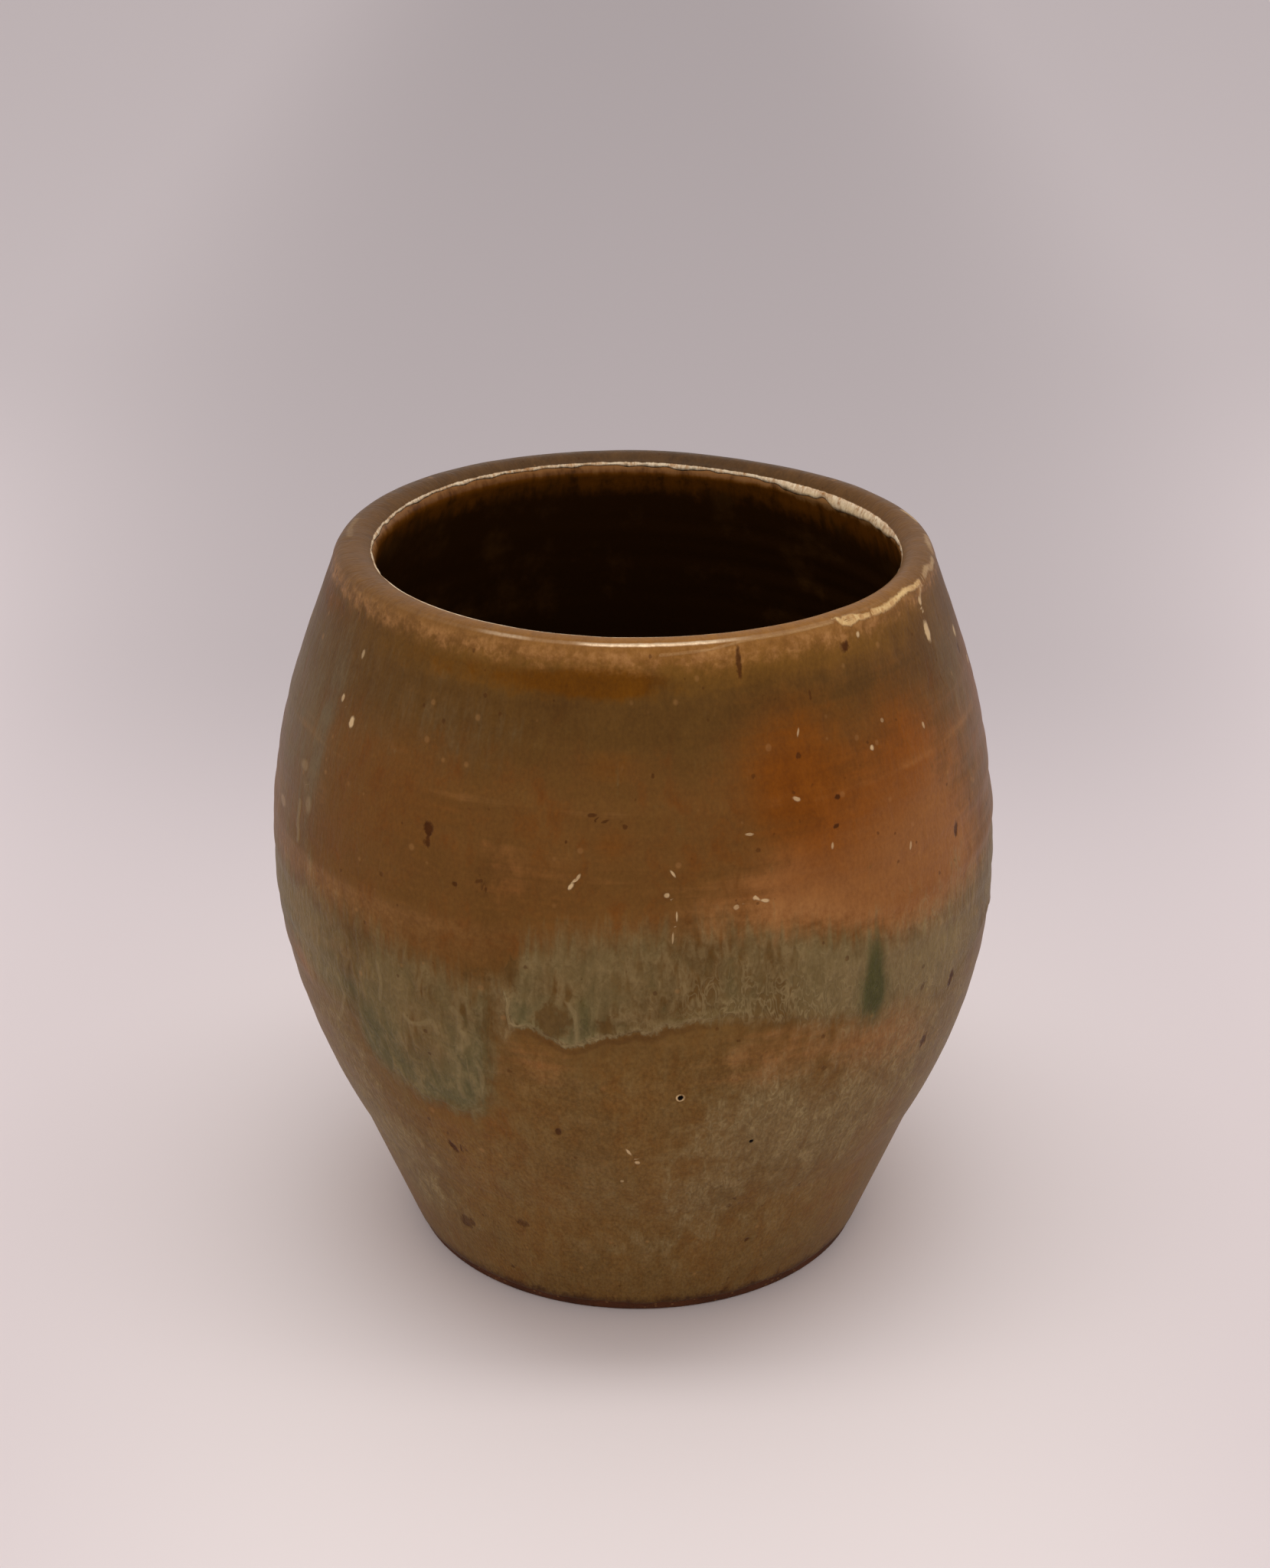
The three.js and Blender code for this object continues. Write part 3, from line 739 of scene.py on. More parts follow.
def finish_piece(mesh, node, material):
    mesh.transform(((MM, 0, 0, 0), (0, MM, 0, 0), (0, 0, MM, 0), (0, 0, 0, 1)))
    mesh.shade_smooth()
    mesh.materials.append(material)
    piece = bpy.data.objects.new(mesh.name, mesh)
    bpy.context.scene.collection.objects.link(piece)
    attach(piece, "root")
    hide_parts(node)


# What the glazes read from the mesh


def cloud(table, angle, height):
    total = np.zeros_like(angle)
    for at, level, spread, reach, strength in table:
        off = (wrap(angle - at) / spread) ** 2 + ((height - level) / reach) ** 2
        total += strength * np.exp(-0.7 * off)
    return total


def nearest_speck(table, angle, height):
    """Place in the nearest speck, in its half-widths and half-heights, and its strength, for each vertex."""
    best = np.full(angle.shape, np.inf)
    rows = np.zeros((len(angle), 3))
    for at, level, half_width, half_height, lean, strength in table:
        side = wrap(angle - at) * one_degree(SKIN.at_height(level))
        rise = height - level
        turn = math.radians(lean)
        across = (side * math.cos(turn) - rise * math.sin(turn)) / half_width
        up = (side * math.sin(turn) + rise * math.cos(turn)) / half_height
        distance = np.hypot(side, rise) / max(half_width, half_height)
        closer = distance < best
        best = np.where(closer, distance, best)
        clear = 1 - smooth(1.6, 2.6, distance)
        rows[closer] = np.stack([across, up, strength * clear], axis=1)[closer]
    return rows


def from_pinhole(angle, along):
    """Distance to the nearest pinhole, in radii of its hole, and how pale its ring is."""
    best = np.full(np.shape(along), 40.0)
    ring = np.zeros(np.shape(along))
    for at, height, radius, _, pale in PINHOLES:
        away = away_from(at, height, angle, along) / radius
        ring = np.where(away < best, pale, ring)
        best = np.minimum(best, away)
    return best, ring


def rope_stretches():
    """Straight stretches of the ropes: half-width, strength, and ends as angle and place along the wall."""
    ropes = [(rope, SKIN.at_height) for rope in WALL_ROPES]
    ropes += [(rope, lambda past_lip: SKIN.mark["lip"] + past_lip) for rope in LIP_ROPES]
    for (half_width, strength, *points), level in ropes:
        places = [(angle, level(place)) for angle, place in points]
        for start, end in zip(places, places[1:]):
            yield half_width, strength, start, end


def nearest_rope(angle, along):
    """How far each vertex lies across and beyond the nearest rope, in half-widths, and its strength."""
    best = np.full(angle.shape, np.inf)
    rows = np.zeros((len(angle), 3))
    for half_width, strength, (from_angle, start), (to_angle, end) in rope_stretches():
        girth = one_degree((start + end) / 2)
        run, climb = (to_angle - from_angle) * girth, end - start
        length = math.hypot(run, climb)
        side, rise = wrap(angle - from_angle) * girth, along - start
        step = (side * run + rise * climb) / length
        across = (side * climb - rise * run) / length
        beyond = step - np.clip(step, 0, length)
        distance = np.hypot(across, beyond)
        closer = distance < best
        best = np.where(closer, distance, best)
        clear = strength * (1 - smooth(0.9, 1.5, distance))
        rows[closer] = np.stack([across / half_width, beyond / half_width, clear], axis=1)[closer]
    return rows


def mark_glaze(mesh, angle, along):
    height = SKIN.height(along)
    pinhole, pinhole_ring = from_pinhole(angle, along)
    marks = {
        "above_edge": above_edge(angle, along),
        "below_band_top": SKIN.at_height(on_ring(BAND_RING, angle)) - along,
        "above_crest": along - SKIN.at_height(on_ring(CREST_RING, angle)),
        "past_lip": along - SKIN.mark["lip"],
        "past_mouth": along - SKIN.mark["mouth"],
        "pinhole": pinhole,
        "pinhole_ring": pinhole_ring,
        "rope": nearest_rope(angle, along),
        "pale_speck": nearest_speck(PALE_SPECKS, angle, height),
        "dark_speck": nearest_speck(DARK_SPECKS, angle, height),
    }
    marks |= {name: on_ring(ring, angle) for name, ring in RINGS.items()}
    marks |= {name: cloud(table, angle, height) for name, table in CLOUDS.items()}
    for name, values in marks.items():
        keep(mesh, name, values)


# Materials: maths on values that vary over the surface


def maths(operation, reflected=False):
    """A method of Field that adds one Math node."""
    def method(field, other=0.0):
        first, second = (other, field) if reflected else (field, other)
        return field.recipe.node("ShaderNodeMath", {"operation": operation}, {0: first, 1: second})
    return method


class Field:
    """One value, colour or direction that varies over a surface. Sums on it become nodes."""

    def __init__(self, recipe, socket):
        self.recipe = recipe
        self.socket = socket

    __add__ = maths("ADD")
    __radd__ = maths("ADD", reflected=True)
    __sub__ = maths("SUBTRACT")
    __rsub__ = maths("SUBTRACT", reflected=True)
    __mul__ = maths("MULTIPLY")
    __rmul__ = maths("MULTIPLY", reflected=True)
    __truediv__ = maths("DIVIDE")
    __rtruediv__ = maths("DIVIDE", reflected=True)
    size = maths("ABSOLUTE")
    root = maths("SQRT")
    most = maths("MAXIMUM")
    least = maths("MINIMUM")

    def rise(self, low, high):
        """0 below low, 1 above high, and a smooth step between."""
        inputs = {"Value": self, "From Min": low, "From Max": high}
        return self.recipe.node("ShaderNodeMapRange", {"interpolation_type": "SMOOTHSTEP"}, inputs)

    def fall(self, low, high):
        return 1.0 - self.rise(low, high)

    def share(self, low=0.0):
        """Cut off below low and above 1."""
        return self.most(low).least(1.0)

    def under(self, mask, colour):
        """This colour with another laid over it where the mask says."""
        return self.recipe.blend(mask, self, colour)


class Recipe:
    """A material under way."""

    def __init__(self, name):
        self.material = bpy.data.materials.new(name)
        self.material.use_nodes = True
        self.tree = self.material.node_tree
        self.tree.nodes.clear()

    def node(self, kind, settings=None, inputs=None, output=0):
        made = self.tree.nodes.new(kind)
        for name, value in (settings or {}).items():
            setattr(made, name, value)
        for name, value in (inputs or {}).items():
            socket = made.inputs[name]
            if isinstance(value, Field):
                self.tree.links.new(value.socket, socket)
            else:
                is_colour = socket.type == "RGBA" and len(value) == 3
                socket.default_value = (*value, 1.0) if is_colour else value
        return Field(self, made.outputs[output]) if len(made.outputs) else None

    def value(self, name):
        return self.node("ShaderNodeAttribute", {"attribute_name": name}, output=2)

    def parts(self, vector):
        return [self.node("ShaderNodeSeparateXYZ", None, {0: vector}, output=i) for i in range(3)]

    def place(self):
        """East, north and height on the object, in metres."""
        return self.parts(self.node("ShaderNodeTexCoord", output=3))

    def vector(self, x, y, z):
        return self.node("ShaderNodeCombineXYZ", None, {0: x, 1: y, 2: z})

    def blend(self, mask, under, over):
        return self.node("ShaderNodeMix", {"data_type": "RGBA"}, {0: mask, 6: under, 7: over}, output=2)

    def noise(self, vector, scale, detail=2.0, roughness=0.5, distortion=0.0):
        inputs = {"Vector": vector, "Scale": scale, "Detail": detail, "Roughness": roughness}
        return self.node("ShaderNodeTexNoise", None, inputs | {"Distortion": distortion})

    def swing(self, vector, scale, detail=2.0, roughness=0.5, distortion=0.0):
        """Noise that swings about 0, for the most part between -1 and 1."""
        return (self.noise(vector, scale, detail, roughness, distortion) - 0.5) * 3.5

    def cells(self, vector, scale, feature="F1", output=0):
        inputs = {"Vector": vector, "Scale": scale}
        return self.node("ShaderNodeTexVoronoi", {"feature": feature}, inputs, output)

    def bump(self, height, strength, distance):
        inputs = {"Height": height, "Strength": strength, "Distance": distance}
        return self.node("ShaderNodeBump", None, inputs)

    def close(self, **inputs):
        inputs = {name.replace("_", " "): value for name, value in inputs.items()}
        surface = self.node("ShaderNodeBsdfPrincipled", None, inputs)
        self.node("ShaderNodeOutputMaterial", None, {"Surface": surface})
        return self.material


class Patterns:
    """What melting and running leave in a glaze: fields about 0, in mm over the wall laid out flat."""

    def __init__(self, recipe):
        x, y, height = recipe.place()
        reach = (x * x + y * y).root()
        self.recipe = recipe
        self.east = x / reach * BELLY[0]
        self.north = y / reach * BELLY[0]
        self.height = height / MM
        self.past_lip = recipe.value("past_lip")
        self.above = recipe.value("above_edge")
        self.below_top = recipe.value("below_band_top")
        self.crisp = recipe.value("crisp")
        self.curl = recipe.value("curl")
        self.hazy = recipe.value("haze")
        self.low_wall = self.above.fall(-7.0, 1.0)
        self.cloudy = self.field(0.11, 0.8, 3.0, 0.55)
        self.mottle = self.field(0.40, 0.7, 4.0, 0.62, 0.5, shift=60.0)
        self.grain = self.field(2.3, 0.8, 2.0, 0.6)
        self.streak = self.field(0.75, 0.2, 3.0, 0.6, 0.4)
        self.fibre = self.field(1.7, 0.13, 2.0, 0.55, shift=80.0)
        self.worm = self.field(1.35, 0.72, 1.0, 0.5, 1.1, shift=40.0)
        self.net = self.drawn_net(0.66, 0.30, 1.9, 10.0)
        self.hooks = self.field(0.9, 0.45, 1.5, 0.5, 1.7, shift=95.0).size()
        rings = recipe.vector(self.east * 0.06, self.north * 0.06, self.past_lip)
        self.lathe = recipe.swing(rings, 1.1, 3.0, 0.6)

    def sheet(self, shift, stretch=1.0):
        up = self.past_lip if stretch == 1.0 else self.past_lip * stretch
        return self.recipe.vector(self.east + shift, self.north, up)

    def field(self, scale, stretch, detail, roughness, distortion=0.0, shift=0.0):
        return self.recipe.swing(self.sheet(shift, stretch), scale, detail, roughness, distortion)

    def drawn_net(self, scale, stretch, shake, shift):
        """Distance, in cells, from the walls of a net of cells, shaken out of line."""
        sheet = self.sheet(shift, stretch)
        inputs = {"Vector": sheet, "Scale": scale * 1.1, "Detail": 2.0, "Roughness": 0.6}
        jitter = self.recipe.node("ShaderNodeTexNoise", None, inputs, output=1)
        inputs = {0: jitter, 1: (shake, shake, shake), 2: sheet}
        shaken = self.recipe.node("ShaderNodeVectorMath", {"operation": "MULTIPLY_ADD"}, inputs)
        return self.recipe.cells(shaken, scale, "DISTANCE_TO_EDGE")

    def scattered(self, scale, shift):
        """Distance to the nearest of some scattered points, and a random share for each."""
        sheet = self.sheet(shift)
        pick = self.recipe.parts(self.recipe.cells(sheet, scale, output=1))[0]
        return self.recipe.cells(sheet, scale), pick

    def spot(self, name):
        """How far off the nearest speck or rope lies, in half-widths, and its strength."""
        kept = self.recipe.node("ShaderNodeAttribute", {"attribute_name": name}, output=1)
        across, up, strength = self.recipe.parts(kept)
        return (across * across + up * up).root(), strength


def outside_glaze(name, glaze):
    """The outside as it shows in both coats: one sheet of colour, as the layers melted into each other."""
    recipe = Recipe(name)
    look = Patterns(recipe)
    mottle, grain, fibre = look.mottle, look.grain, look.fibre
    colour, orange = melted_coats(recipe, look, glaze)
    colour = finger_crests(recipe, look, glaze, colour)
    colour, band, pale, bead = running_edge(recipe, look, glaze, colour)
    colour, curds = curdled_haze(look, glaze, colour, band)
    pane = (recipe.value("pane") + mottle * 0.42 + look.worm * 0.34 + look.streak * 0.2).rise(0.3, 0.9)
    colour = colour.under(pane * 0.8, glaze.pane)
    pool = (recipe.value("pool") + look.streak * 0.15 + mottle * 0.2 + fibre * 0.15).rise(0.1, 1.2)
    colour = colour.under(pool * 0.8, glaze.teal)
    colour, ridge, cream = lip_colour(recipe, look, glaze, colour)
    # Thin, burnt glaze at its lower edge, over the bare foot
    burnt = (look.height + mottle * 0.6 + grain * 0.2).fall(1.2, 3.0)
    colour = colour.under(burnt * 0.75, glaze.clay)
    colour, rope = pale_ropes(recipe, look, glaze, colour)
    colour = fine_specks(look, glaze, colour)
    colour = burst_bubbles(recipe, look, glaze, colour)
    dark_speck, pale_speck = speck(look, "dark_speck"), speck(look, "pale_speck")
    colour = colour.under(dark_speck * 0.93, glaze.iron).under(pale_speck * 0.8, glaze.speck)
    colour = uneven(recipe, look, colour, ridge)
    height = mottle * 0.28 + grain * 0.07 + fibre * 0.06 + look.lathe * 0.05 + pale * band * 0.8 + bead * 0.9
    height = height + rope * 0.9 + pale_speck * 0.8 - dark_speck * 0.4 + curds * 0.7 + cream * 0.6
    return recipe.close(
        Base_Color=colour, Metallic=(ridge * 0.6).least(1.0),
        Roughness=0.42 + mottle * 0.06 + fibre * 0.03 - orange * 0.06 - ridge * 0.1,
        IOR=1.5, Specular_IOR_Level=0.05, Coat_Weight=0.02, Coat_Roughness=0.11, Coat_IOR=1.5,
        Normal=recipe.bump(height * (1.0 - 0.6 * ridge), 0.6, 0.00025),
    )


def melted_coats(recipe, look, glaze):
    """Brown below, rust where the two coats melted together above, and clouds of other colours in both."""
    above, cloudy, mottle, grain, fibre, lathe = (
        look.above, look.cloudy, look.mottle, look.grain, look.fibre, look.lathe
    )
    colour = recipe.blend((above + cloudy * 2.0).rise(-2.0, 7.0), glaze.brown, glaze.rust)
    green = (look.hazy * 0.35 + cloudy * 0.45 + mottle * 0.5 + fibre * 0.15).rise(-0.5, 0.8)
    colour = colour.under(green * 0.75, recipe.blend(above.rise(-4.0, 4.0), glaze.moss, glaze.olive))
    warm = (mottle * -0.7 + cloudy * -0.5 + grain * 0.15 - look.hazy * 0.5).rise(0.0, 1.0)
    colour = colour.under(warm * 0.42 * (1.0 - look.low_wall * 0.5), glaze.orange)
    salmon = (recipe.value("salmon") + cloudy * 0.3 + mottle * 0.3 + lathe * 0.2).rise(0.1, 1.1)
    colour = colour.under(salmon * 0.8, glaze.salmon)

    # Olive round the shoulder, and orange clouds that eat into it
    orange_cloud = recipe.value("orange")
    orange = (orange_cloud + cloudy * 0.2 + mottle * 0.18 + lathe * 0.12).rise(0.15, 1.3)
    olive = (look.height + cloudy * 2.6 + mottle * 2.0 + lathe * 0.8 - orange_cloud * 5.0).rise(72.0, 81.0)
    colour = colour.under(olive * 0.85, glaze.olive).under(orange * 0.85, glaze.orange)
    # Ash-grey streaks, which at the sides near 70 degrees from the front also paint the grey sheen of
    # grazing reflection
    ash = (recipe.value("ash") + fibre * 0.16 + look.streak * 0.16 + mottle * 0.2).rise(0.1, 1.3)
    return colour.under(ash * 0.75, glaze.ash), orange


def finger_crests(recipe, look, glaze, colour):
    """A paler strip under the finger's crest, where the glaze is thin, and a fainter one at the second."""
    mottle, grain, lathe = look.mottle, look.grain, look.lathe
    crest = recipe.value("above_crest")
    strip = (crest + mottle * 0.9).rise(-6.0, -1.0) * (crest + mottle * 0.5 + grain * 0.2).fall(-0.6, 1.2)
    strip = strip * recipe.value("crest_show")
    strip = strip * (0.42 + mottle * 0.3 + lathe * 0.12 + grain * 0.15).most(0.0)
    second = (look.height - SECOND_CREST + mottle * 0.3).size().fall(0.1, 0.8)
    second = (second * (look.cloudy * 0.5 + lathe * 0.4)).most(0.0)
    return colour.under(strip, glaze.buff).under(second * 0.35, glaze.buff)


def running_edge(recipe, look, glaze, colour):
    """The shadow under the edge of the top coat, the band above it and the bead along it."""
    # Painted shadow just under the running edge where it is crisp, in the iron colour
    shadow = (look.above + 0.55 + look.mottle * 0.25).size().fall(0.1, 0.6) * look.crisp
    colour = colour.under(shadow * 0.30, glaze.iron)
    band, band_colour, pale = running_band(recipe, look, glaze)
    colour = colour.under(band, band_colour)
    bead = (look.above + look.worm * 0.3 + look.mottle * 0.3 - 0.35).size().fall(0.16, 0.55)
    bead = bead * (look.crisp - 0.55).rise(0.0, 0.3)
    bead = bead * (look.worm * 0.5 + look.mottle * 0.8 + 0.6).share(0.1)
    return colour.under(bead * 0.75, glaze.pale_streak), band, pale, bead


def running_band(recipe, look, glaze):
    """The green-grey band: fingers at its top, a beaded line or a haze at its foot, curds in between."""
    above, below_top, curl, mottle, streak = look.above, look.below_top, look.curl, look.mottle, look.streak
    soft = 1.0 - look.crisp
    top = (below_top + look.fibre * 1.3 + streak * 1.6 + mottle * 0.7).rise(-2.2, 3.2)
    ragged = look.worm * 0.3 + mottle * (0.3 + soft * 0.9)
    bottom = above + recipe.value("spread") + ragged + soft * streak * 0.9
    bottom = (bottom / (0.25 + soft * 3.4)).rise(-0.6, 0.6)

    colour = recipe.blend((look.cloudy + mottle * 0.7).rise(-0.6, 1.0), glaze.green_grey, glaze.olive)
    tongue = (above - below_top * 0.35 + look.cloudy * 1.5 + mottle * 1.2).fall(-5.0, 5.0)
    tongue = tongue * curl.fall(0.1, 0.4)
    colour = colour.under(tongue * 0.75, glaze.sage)
    colour = colour.under((look.hazy + mottle * 0.2).rise(0.2, 1.2) * 0.6, glaze.haze)
    clear = (streak * -0.5 + mottle * -0.5).rise(0.1, 0.9) * below_top.fall(1.0, 8.0)
    colour = colour.under(clear * 0.4, glaze.pane)
    dark = (look.net * 1.3 - mottle * 0.6 - streak * 0.3).rise(0.3, 1.5)
    colour = colour.under(dark * (0.38 + tongue * 0.22), glaze.teal)

    # Pale curds: drawn out in strokes, or curled where the glaze piled up low in the band
    gaps = (mottle * 1.0 + look.worm * 0.5 + look.cloudy * 0.3 + 0.5).share(0.05)
    drawn_out = (look.net + mottle * 0.1 + look.worm * 0.05).fall(0.06, 0.40) * gaps
    curled = (look.hooks + look.grain * 0.06).fall(0.05, 0.40) * (0.75 + mottle * 0.9).share(0.05)
    pale = (curled - drawn_out) * curl.rise(0.0, 1.0) * above.fall(3.5, 9.0) + drawn_out
    pale = pale * (0.72 + above.fall(2.0, 10.0) * 0.25 + curl * 0.13)
    pale = pale + (look.fibre * 0.5 + streak * 0.8).rise(0.0, 1.6) * 0.25
    calm = look.crisp.rise(0.0, 0.4) * 0.35 + 0.65
    strength = (pale * calm.most(curl)).least(1.0) * (0.51 + curl * 0.1)
    return top * bottom * 0.95, colour.under(strength, glaze.pale_streak), pale


def curdled_haze(look, glaze, colour, band):
    """Haze over the brown coat, curdled as the band is."""
    haze = (look.hazy + look.mottle * 0.45 + look.fibre * 0.15).rise(0.2, 1.3) * (1.0 - band)
    veiled = haze.most(look.low_wall * 0.18)
    curds = look.hooks.fall(0.10, 0.46) * (0.5 + look.mottle * 0.7 + look.grain * 0.15).share() * veiled
    colour = colour.under(haze * 0.42, glaze.haze)
    colour = colour.under((look.worm - 0.55).size().fall(0.0, 0.3) * veiled * 0.3, glaze.moss)
    return colour.under(curds * 0.62, glaze.pale_streak), curds


def lip_colour(recipe, look, glaze, colour):
    """Amber under the lip, the mottled break on its shoulder, its flat with a highlight painted in cream on
    its ridge, and the cream line at the mouth.
    """
    past_lip, mottle, grain, streak = look.past_lip, look.mottle, look.grain, look.streak
    blotch = look.field(0.55, 1.3, 3.0, 0.62, 0.3, shift=120.0)
    crumb = look.field(1.7, 1.2, 2.0, 0.6, shift=140.0)
    amber = (recipe.value("amber") + blotch * 0.25 + mottle * 0.12 + streak * 0.06).rise(0.15, 0.9)
    colour = colour.under(amber * 0.95, glaze.amber)
    tone = recipe.value("rim_tone")
    honey = (past_lip + blotch * 1.0).rise(-5.0, -1.0) * tone.rise(0.4, 0.9) * 0.6
    colour = colour.under(honey * (1.0 - amber), glaze.honey)
    broken = (past_lip + blotch * 0.9 + crumb * 0.35 + look.cloudy * 0.4 + tone * 0.45).rise(-1.5, 0.9)
    shoulder = (past_lip + blotch * 0.5).fall(0.9, 1.8) * (past_lip + blotch * 0.6).rise(-1.4, 0.2)
    patchy = (blotch * 0.9 + crumb * 0.4 + look.cloudy * 0.4).rise(-0.5, 1.0) * shoulder
    flat = recipe.blend(tone + blotch * 0.08, glaze.lip_back, glaze.lip_front)
    flat = flat.under(patchy * (0.3 + tone * 0.55), glaze.buff)
    colour = colour.under(broken * 0.9, flat)
    # Painted highlight: pale cream along the ridge of the lip where the soft box shines, which is also made
    # partly metallic
    ridge = (past_lip - LIP_RIDGE + blotch * 0.06).size().fall(0.06, 0.36)
    ridge = ridge * recipe.value("lustre_and_painted_highlight") * (0.85 + crumb * 0.25)
    colour = colour.under((ridge * 0.65).least(1.0), glaze.cream)

    # The cream line, and the cracked drips that hang from it inside, with a lighter cream painted where the
    # drips face into the pot, as if lit
    inside = recipe.value("past_mouth") + recipe.value("cream")
    hang = recipe.value("hang")
    cream = (inside + blotch * 0.08 + crumb * 0.04).rise(-0.08, 0.08)
    beyond = (inside - hang + mottle * 0.25 + streak * 0.35) / (0.35 + hang * 0.35)
    cream = cream * beyond.fall(-0.7, 0.5)
    crack = (streak - 0.9 + grain * 0.1).size().fall(0.0, 0.12) * hang.rise(0.9, 1.4)
    worn = (mottle * 0.9 + look.worm * 0.6 + grain * 0.4).rise(-1.3, 0.9)
    cracked = recipe.blend(worn, glaze.buff, glaze.cream)
    lit = (mottle * 0.8 + streak * 0.8 + look.worm * 0.6 + grain * 0.3).rise(-0.9, 0.9) * hang.rise(0.9, 1.5)
    cracked = cracked.under((inside + mottle * 0.15).rise(0.3, 0.8) * lit * 0.8, glaze.painted_lit_cream)
    cracked = cracked.under(crack * 0.8, glaze.liner_amber)
    return colour.under(cream * 0.95, cracked), ridge.least(1.0), cream


def pale_ropes(recipe, look, glaze, colour):
    """Ropes of pale glaze, golden where they are strong, and lumpy."""
    far, strength = look.spot("rope")
    rope = (far + look.mottle * 0.5 + look.worm * 0.35 + look.grain * 0.25).fall(0.45, 1.35)
    rope = rope * strength.least(1.0)
    lumps = (look.mottle * 0.6 + look.worm * 0.5 + look.grain * 0.3).rise(-0.9, 0.5)
    lip_rope = recipe.blend(strength.rise(0.65, 0.95), glaze.speck, glaze.gold)
    lip_rope = lip_rope.under((1.0 - lumps) * 0.85, glaze.buff)
    rope_colour = recipe.blend(look.past_lip.rise(-1.5, -1.0), glaze.pale_streak, lip_rope)
    return colour.under(rope * 0.85, rope_colour), rope


def fine_specks(look, glaze, colour):
    """Fine iron specks and paler crumbs all over."""
    near, pick = look.scattered(0.42, 0.0)
    iron = (near - (pick - 0.5) * 0.2 + look.grain * 0.03).fall(0.0, 0.06)
    near, pick = look.scattered(0.36, 17.0)
    crumb = (near - (pick - 0.6) * 0.25 + look.grain * 0.03).fall(0.0, 0.10)
    return colour.under(iron * 0.5, glaze.iron).under(crumb * 0.22, glaze.buff)


def burst_bubbles(recipe, look, glaze, colour):
    """Pinholes, some with a pale ring, their insides painted near black for the shade in them."""
    hole = recipe.value("pinhole") + look.mottle * 0.35 + look.grain * 0.15
    ring = hole.fall(1.8, 2.3) * (look.mottle * 0.7 + look.worm * 0.4 + 0.75).share(0.2)
    ring = ring * recipe.value("pinhole_ring")
    # The inside of each hole is painted near black, for the shade in it
    return colour.under(ring * 0.85, glaze.speck).under(hole.fall(1.1, 1.5), glaze.hole)


def speck(look, name):
    far, strength = look.spot(name)
    return (far + look.mottle * 0.45 + look.grain * 0.2).fall(0.6, 1.2) * strength.least(1.0)


def uneven(recipe, look, colour, ridge):
    """Darker and lighter by turns, as thick and thin glaze are, but calm on the ridge of the lip, where its
    highlight is painted.
    """
    upper = look.past_lip.fall(-3.0, -1.0)
    depth = look.mottle * (0.48 + look.low_wall * 0.12) + look.grain * (0.34 + look.low_wall * 0.4)
    depth = depth + look.fibre * 0.1 * upper + look.lathe * 0.1
    depth = depth + look.cloudy * look.above.rise(16.0, 30.0) * 0.35 * upper
    shading = recipe.blend(depth.rise(-1.2, 1.2), (0.3, 0.3, 0.3), (0.7, 0.7, 0.7))
    settings = {"data_type": "RGBA", "blend_type": "SOFT_LIGHT"}
    inputs = {0: 0.9 * (1.0 - 0.6 * ridge), 6: colour, 7: shading}
    return recipe.node("ShaderNodeMix", settings, inputs, output=2)


def liner_glaze(name, glaze):
    """Dark glaze, amber where it is thin under the lip, and mossy where it pooled on the floor."""
    recipe = Recipe(name)
    past_mouth, hang = recipe.value("past_mouth"), recipe.value("hang")
    east, north, height = (part / MM for part in recipe.place())
    body = recipe.vector(east, north, height)
    streak = recipe.swing(recipe.vector(east, north, height * 0.15), 0.75, 3.0, 0.6)
    mottle = recipe.swing(body, 0.8, 3.0, 0.6)
    cloudy = recipe.swing(body, 0.12, 3.0, 0.55)
    thin = (past_mouth + 2.0 - hang * 1.4 + streak * 1.2 + mottle * 0.9 + cloudy * 0.8).fall(0.3, 4.8)
    colour = recipe.blend(thin, glaze.liner, glaze.liner_amber)
    edge = (past_mouth + 1.65 - hang + mottle * 0.35 + streak * 0.6).fall(-0.2, 1.0)
    colour = colour.under(edge * (0.2 + hang * 0.3).least(0.75), glaze.buff)
    dark = (streak * 0.8 + mottle * 0.7).rise(-0.1, 1.2) * past_mouth.fall(3.0, 6.0)
    colour = colour.under(dark * 0.6, glaze.liner)
    floor = (height + cloudy * 1.7).fall(9.0, 14.0)
    colour = colour.under(floor * 0.5, glaze.olive)
    colour = colour.under((cloudy + mottle * 0.3).rise(0.0, 1.4) * 0.35, glaze.rust)
    return recipe.close(
        Base_Color=colour, Roughness=0.36 + mottle * 0.04, IOR=1.5, Specular_IOR_Level=0.06,
        Coat_Weight=0.03 + thin * 0.06, Coat_Roughness=0.15,
        Normal=recipe.bump(mottle * 0.12 + streak * 0.15, 0.4, 0.0002),
    )


def fired_clay(name, glaze):
    """Bare clay: red-brown clouds, grit and sand, and the drag of the turning tool."""
    recipe = Recipe(name)
    x, y, z = recipe.place()
    body = recipe.vector(x / MM, y / MM, z / MM)
    reach = (x * x + y * y).root() / MM
    cloudy = recipe.noise(body, 0.15, 3.0, 0.6) - 0.5
    grit = recipe.noise(body, 1.8, 3.0, 0.7) - 0.5
    drag = recipe.noise(recipe.vector(reach, reach * 0.3, 0.0), 2.2, 3.0, 0.7) - 0.5
    sand = recipe.cells(body, 0.9).fall(0.12, 0.24)
    colour = recipe.blend((cloudy + grit * 0.4).rise(-0.35, 0.35), glaze.clay, glaze.pale_clay)
    colour = colour.under(sand * 0.25, glaze.buff)
    colour = colour.under((grit * -1.0).rise(0.1, 0.35) * 0.4, glaze.iron)
    return recipe.close(
        Base_Color=colour, Roughness=0.82 + grit * 0.2, IOR=1.45, Specular_IOR_Level=0.2,
        Normal=recipe.bump(grit * 0.8 + drag * 0.7 + sand * 0.6, 0.8, 0.0003),
    )


# Pieces


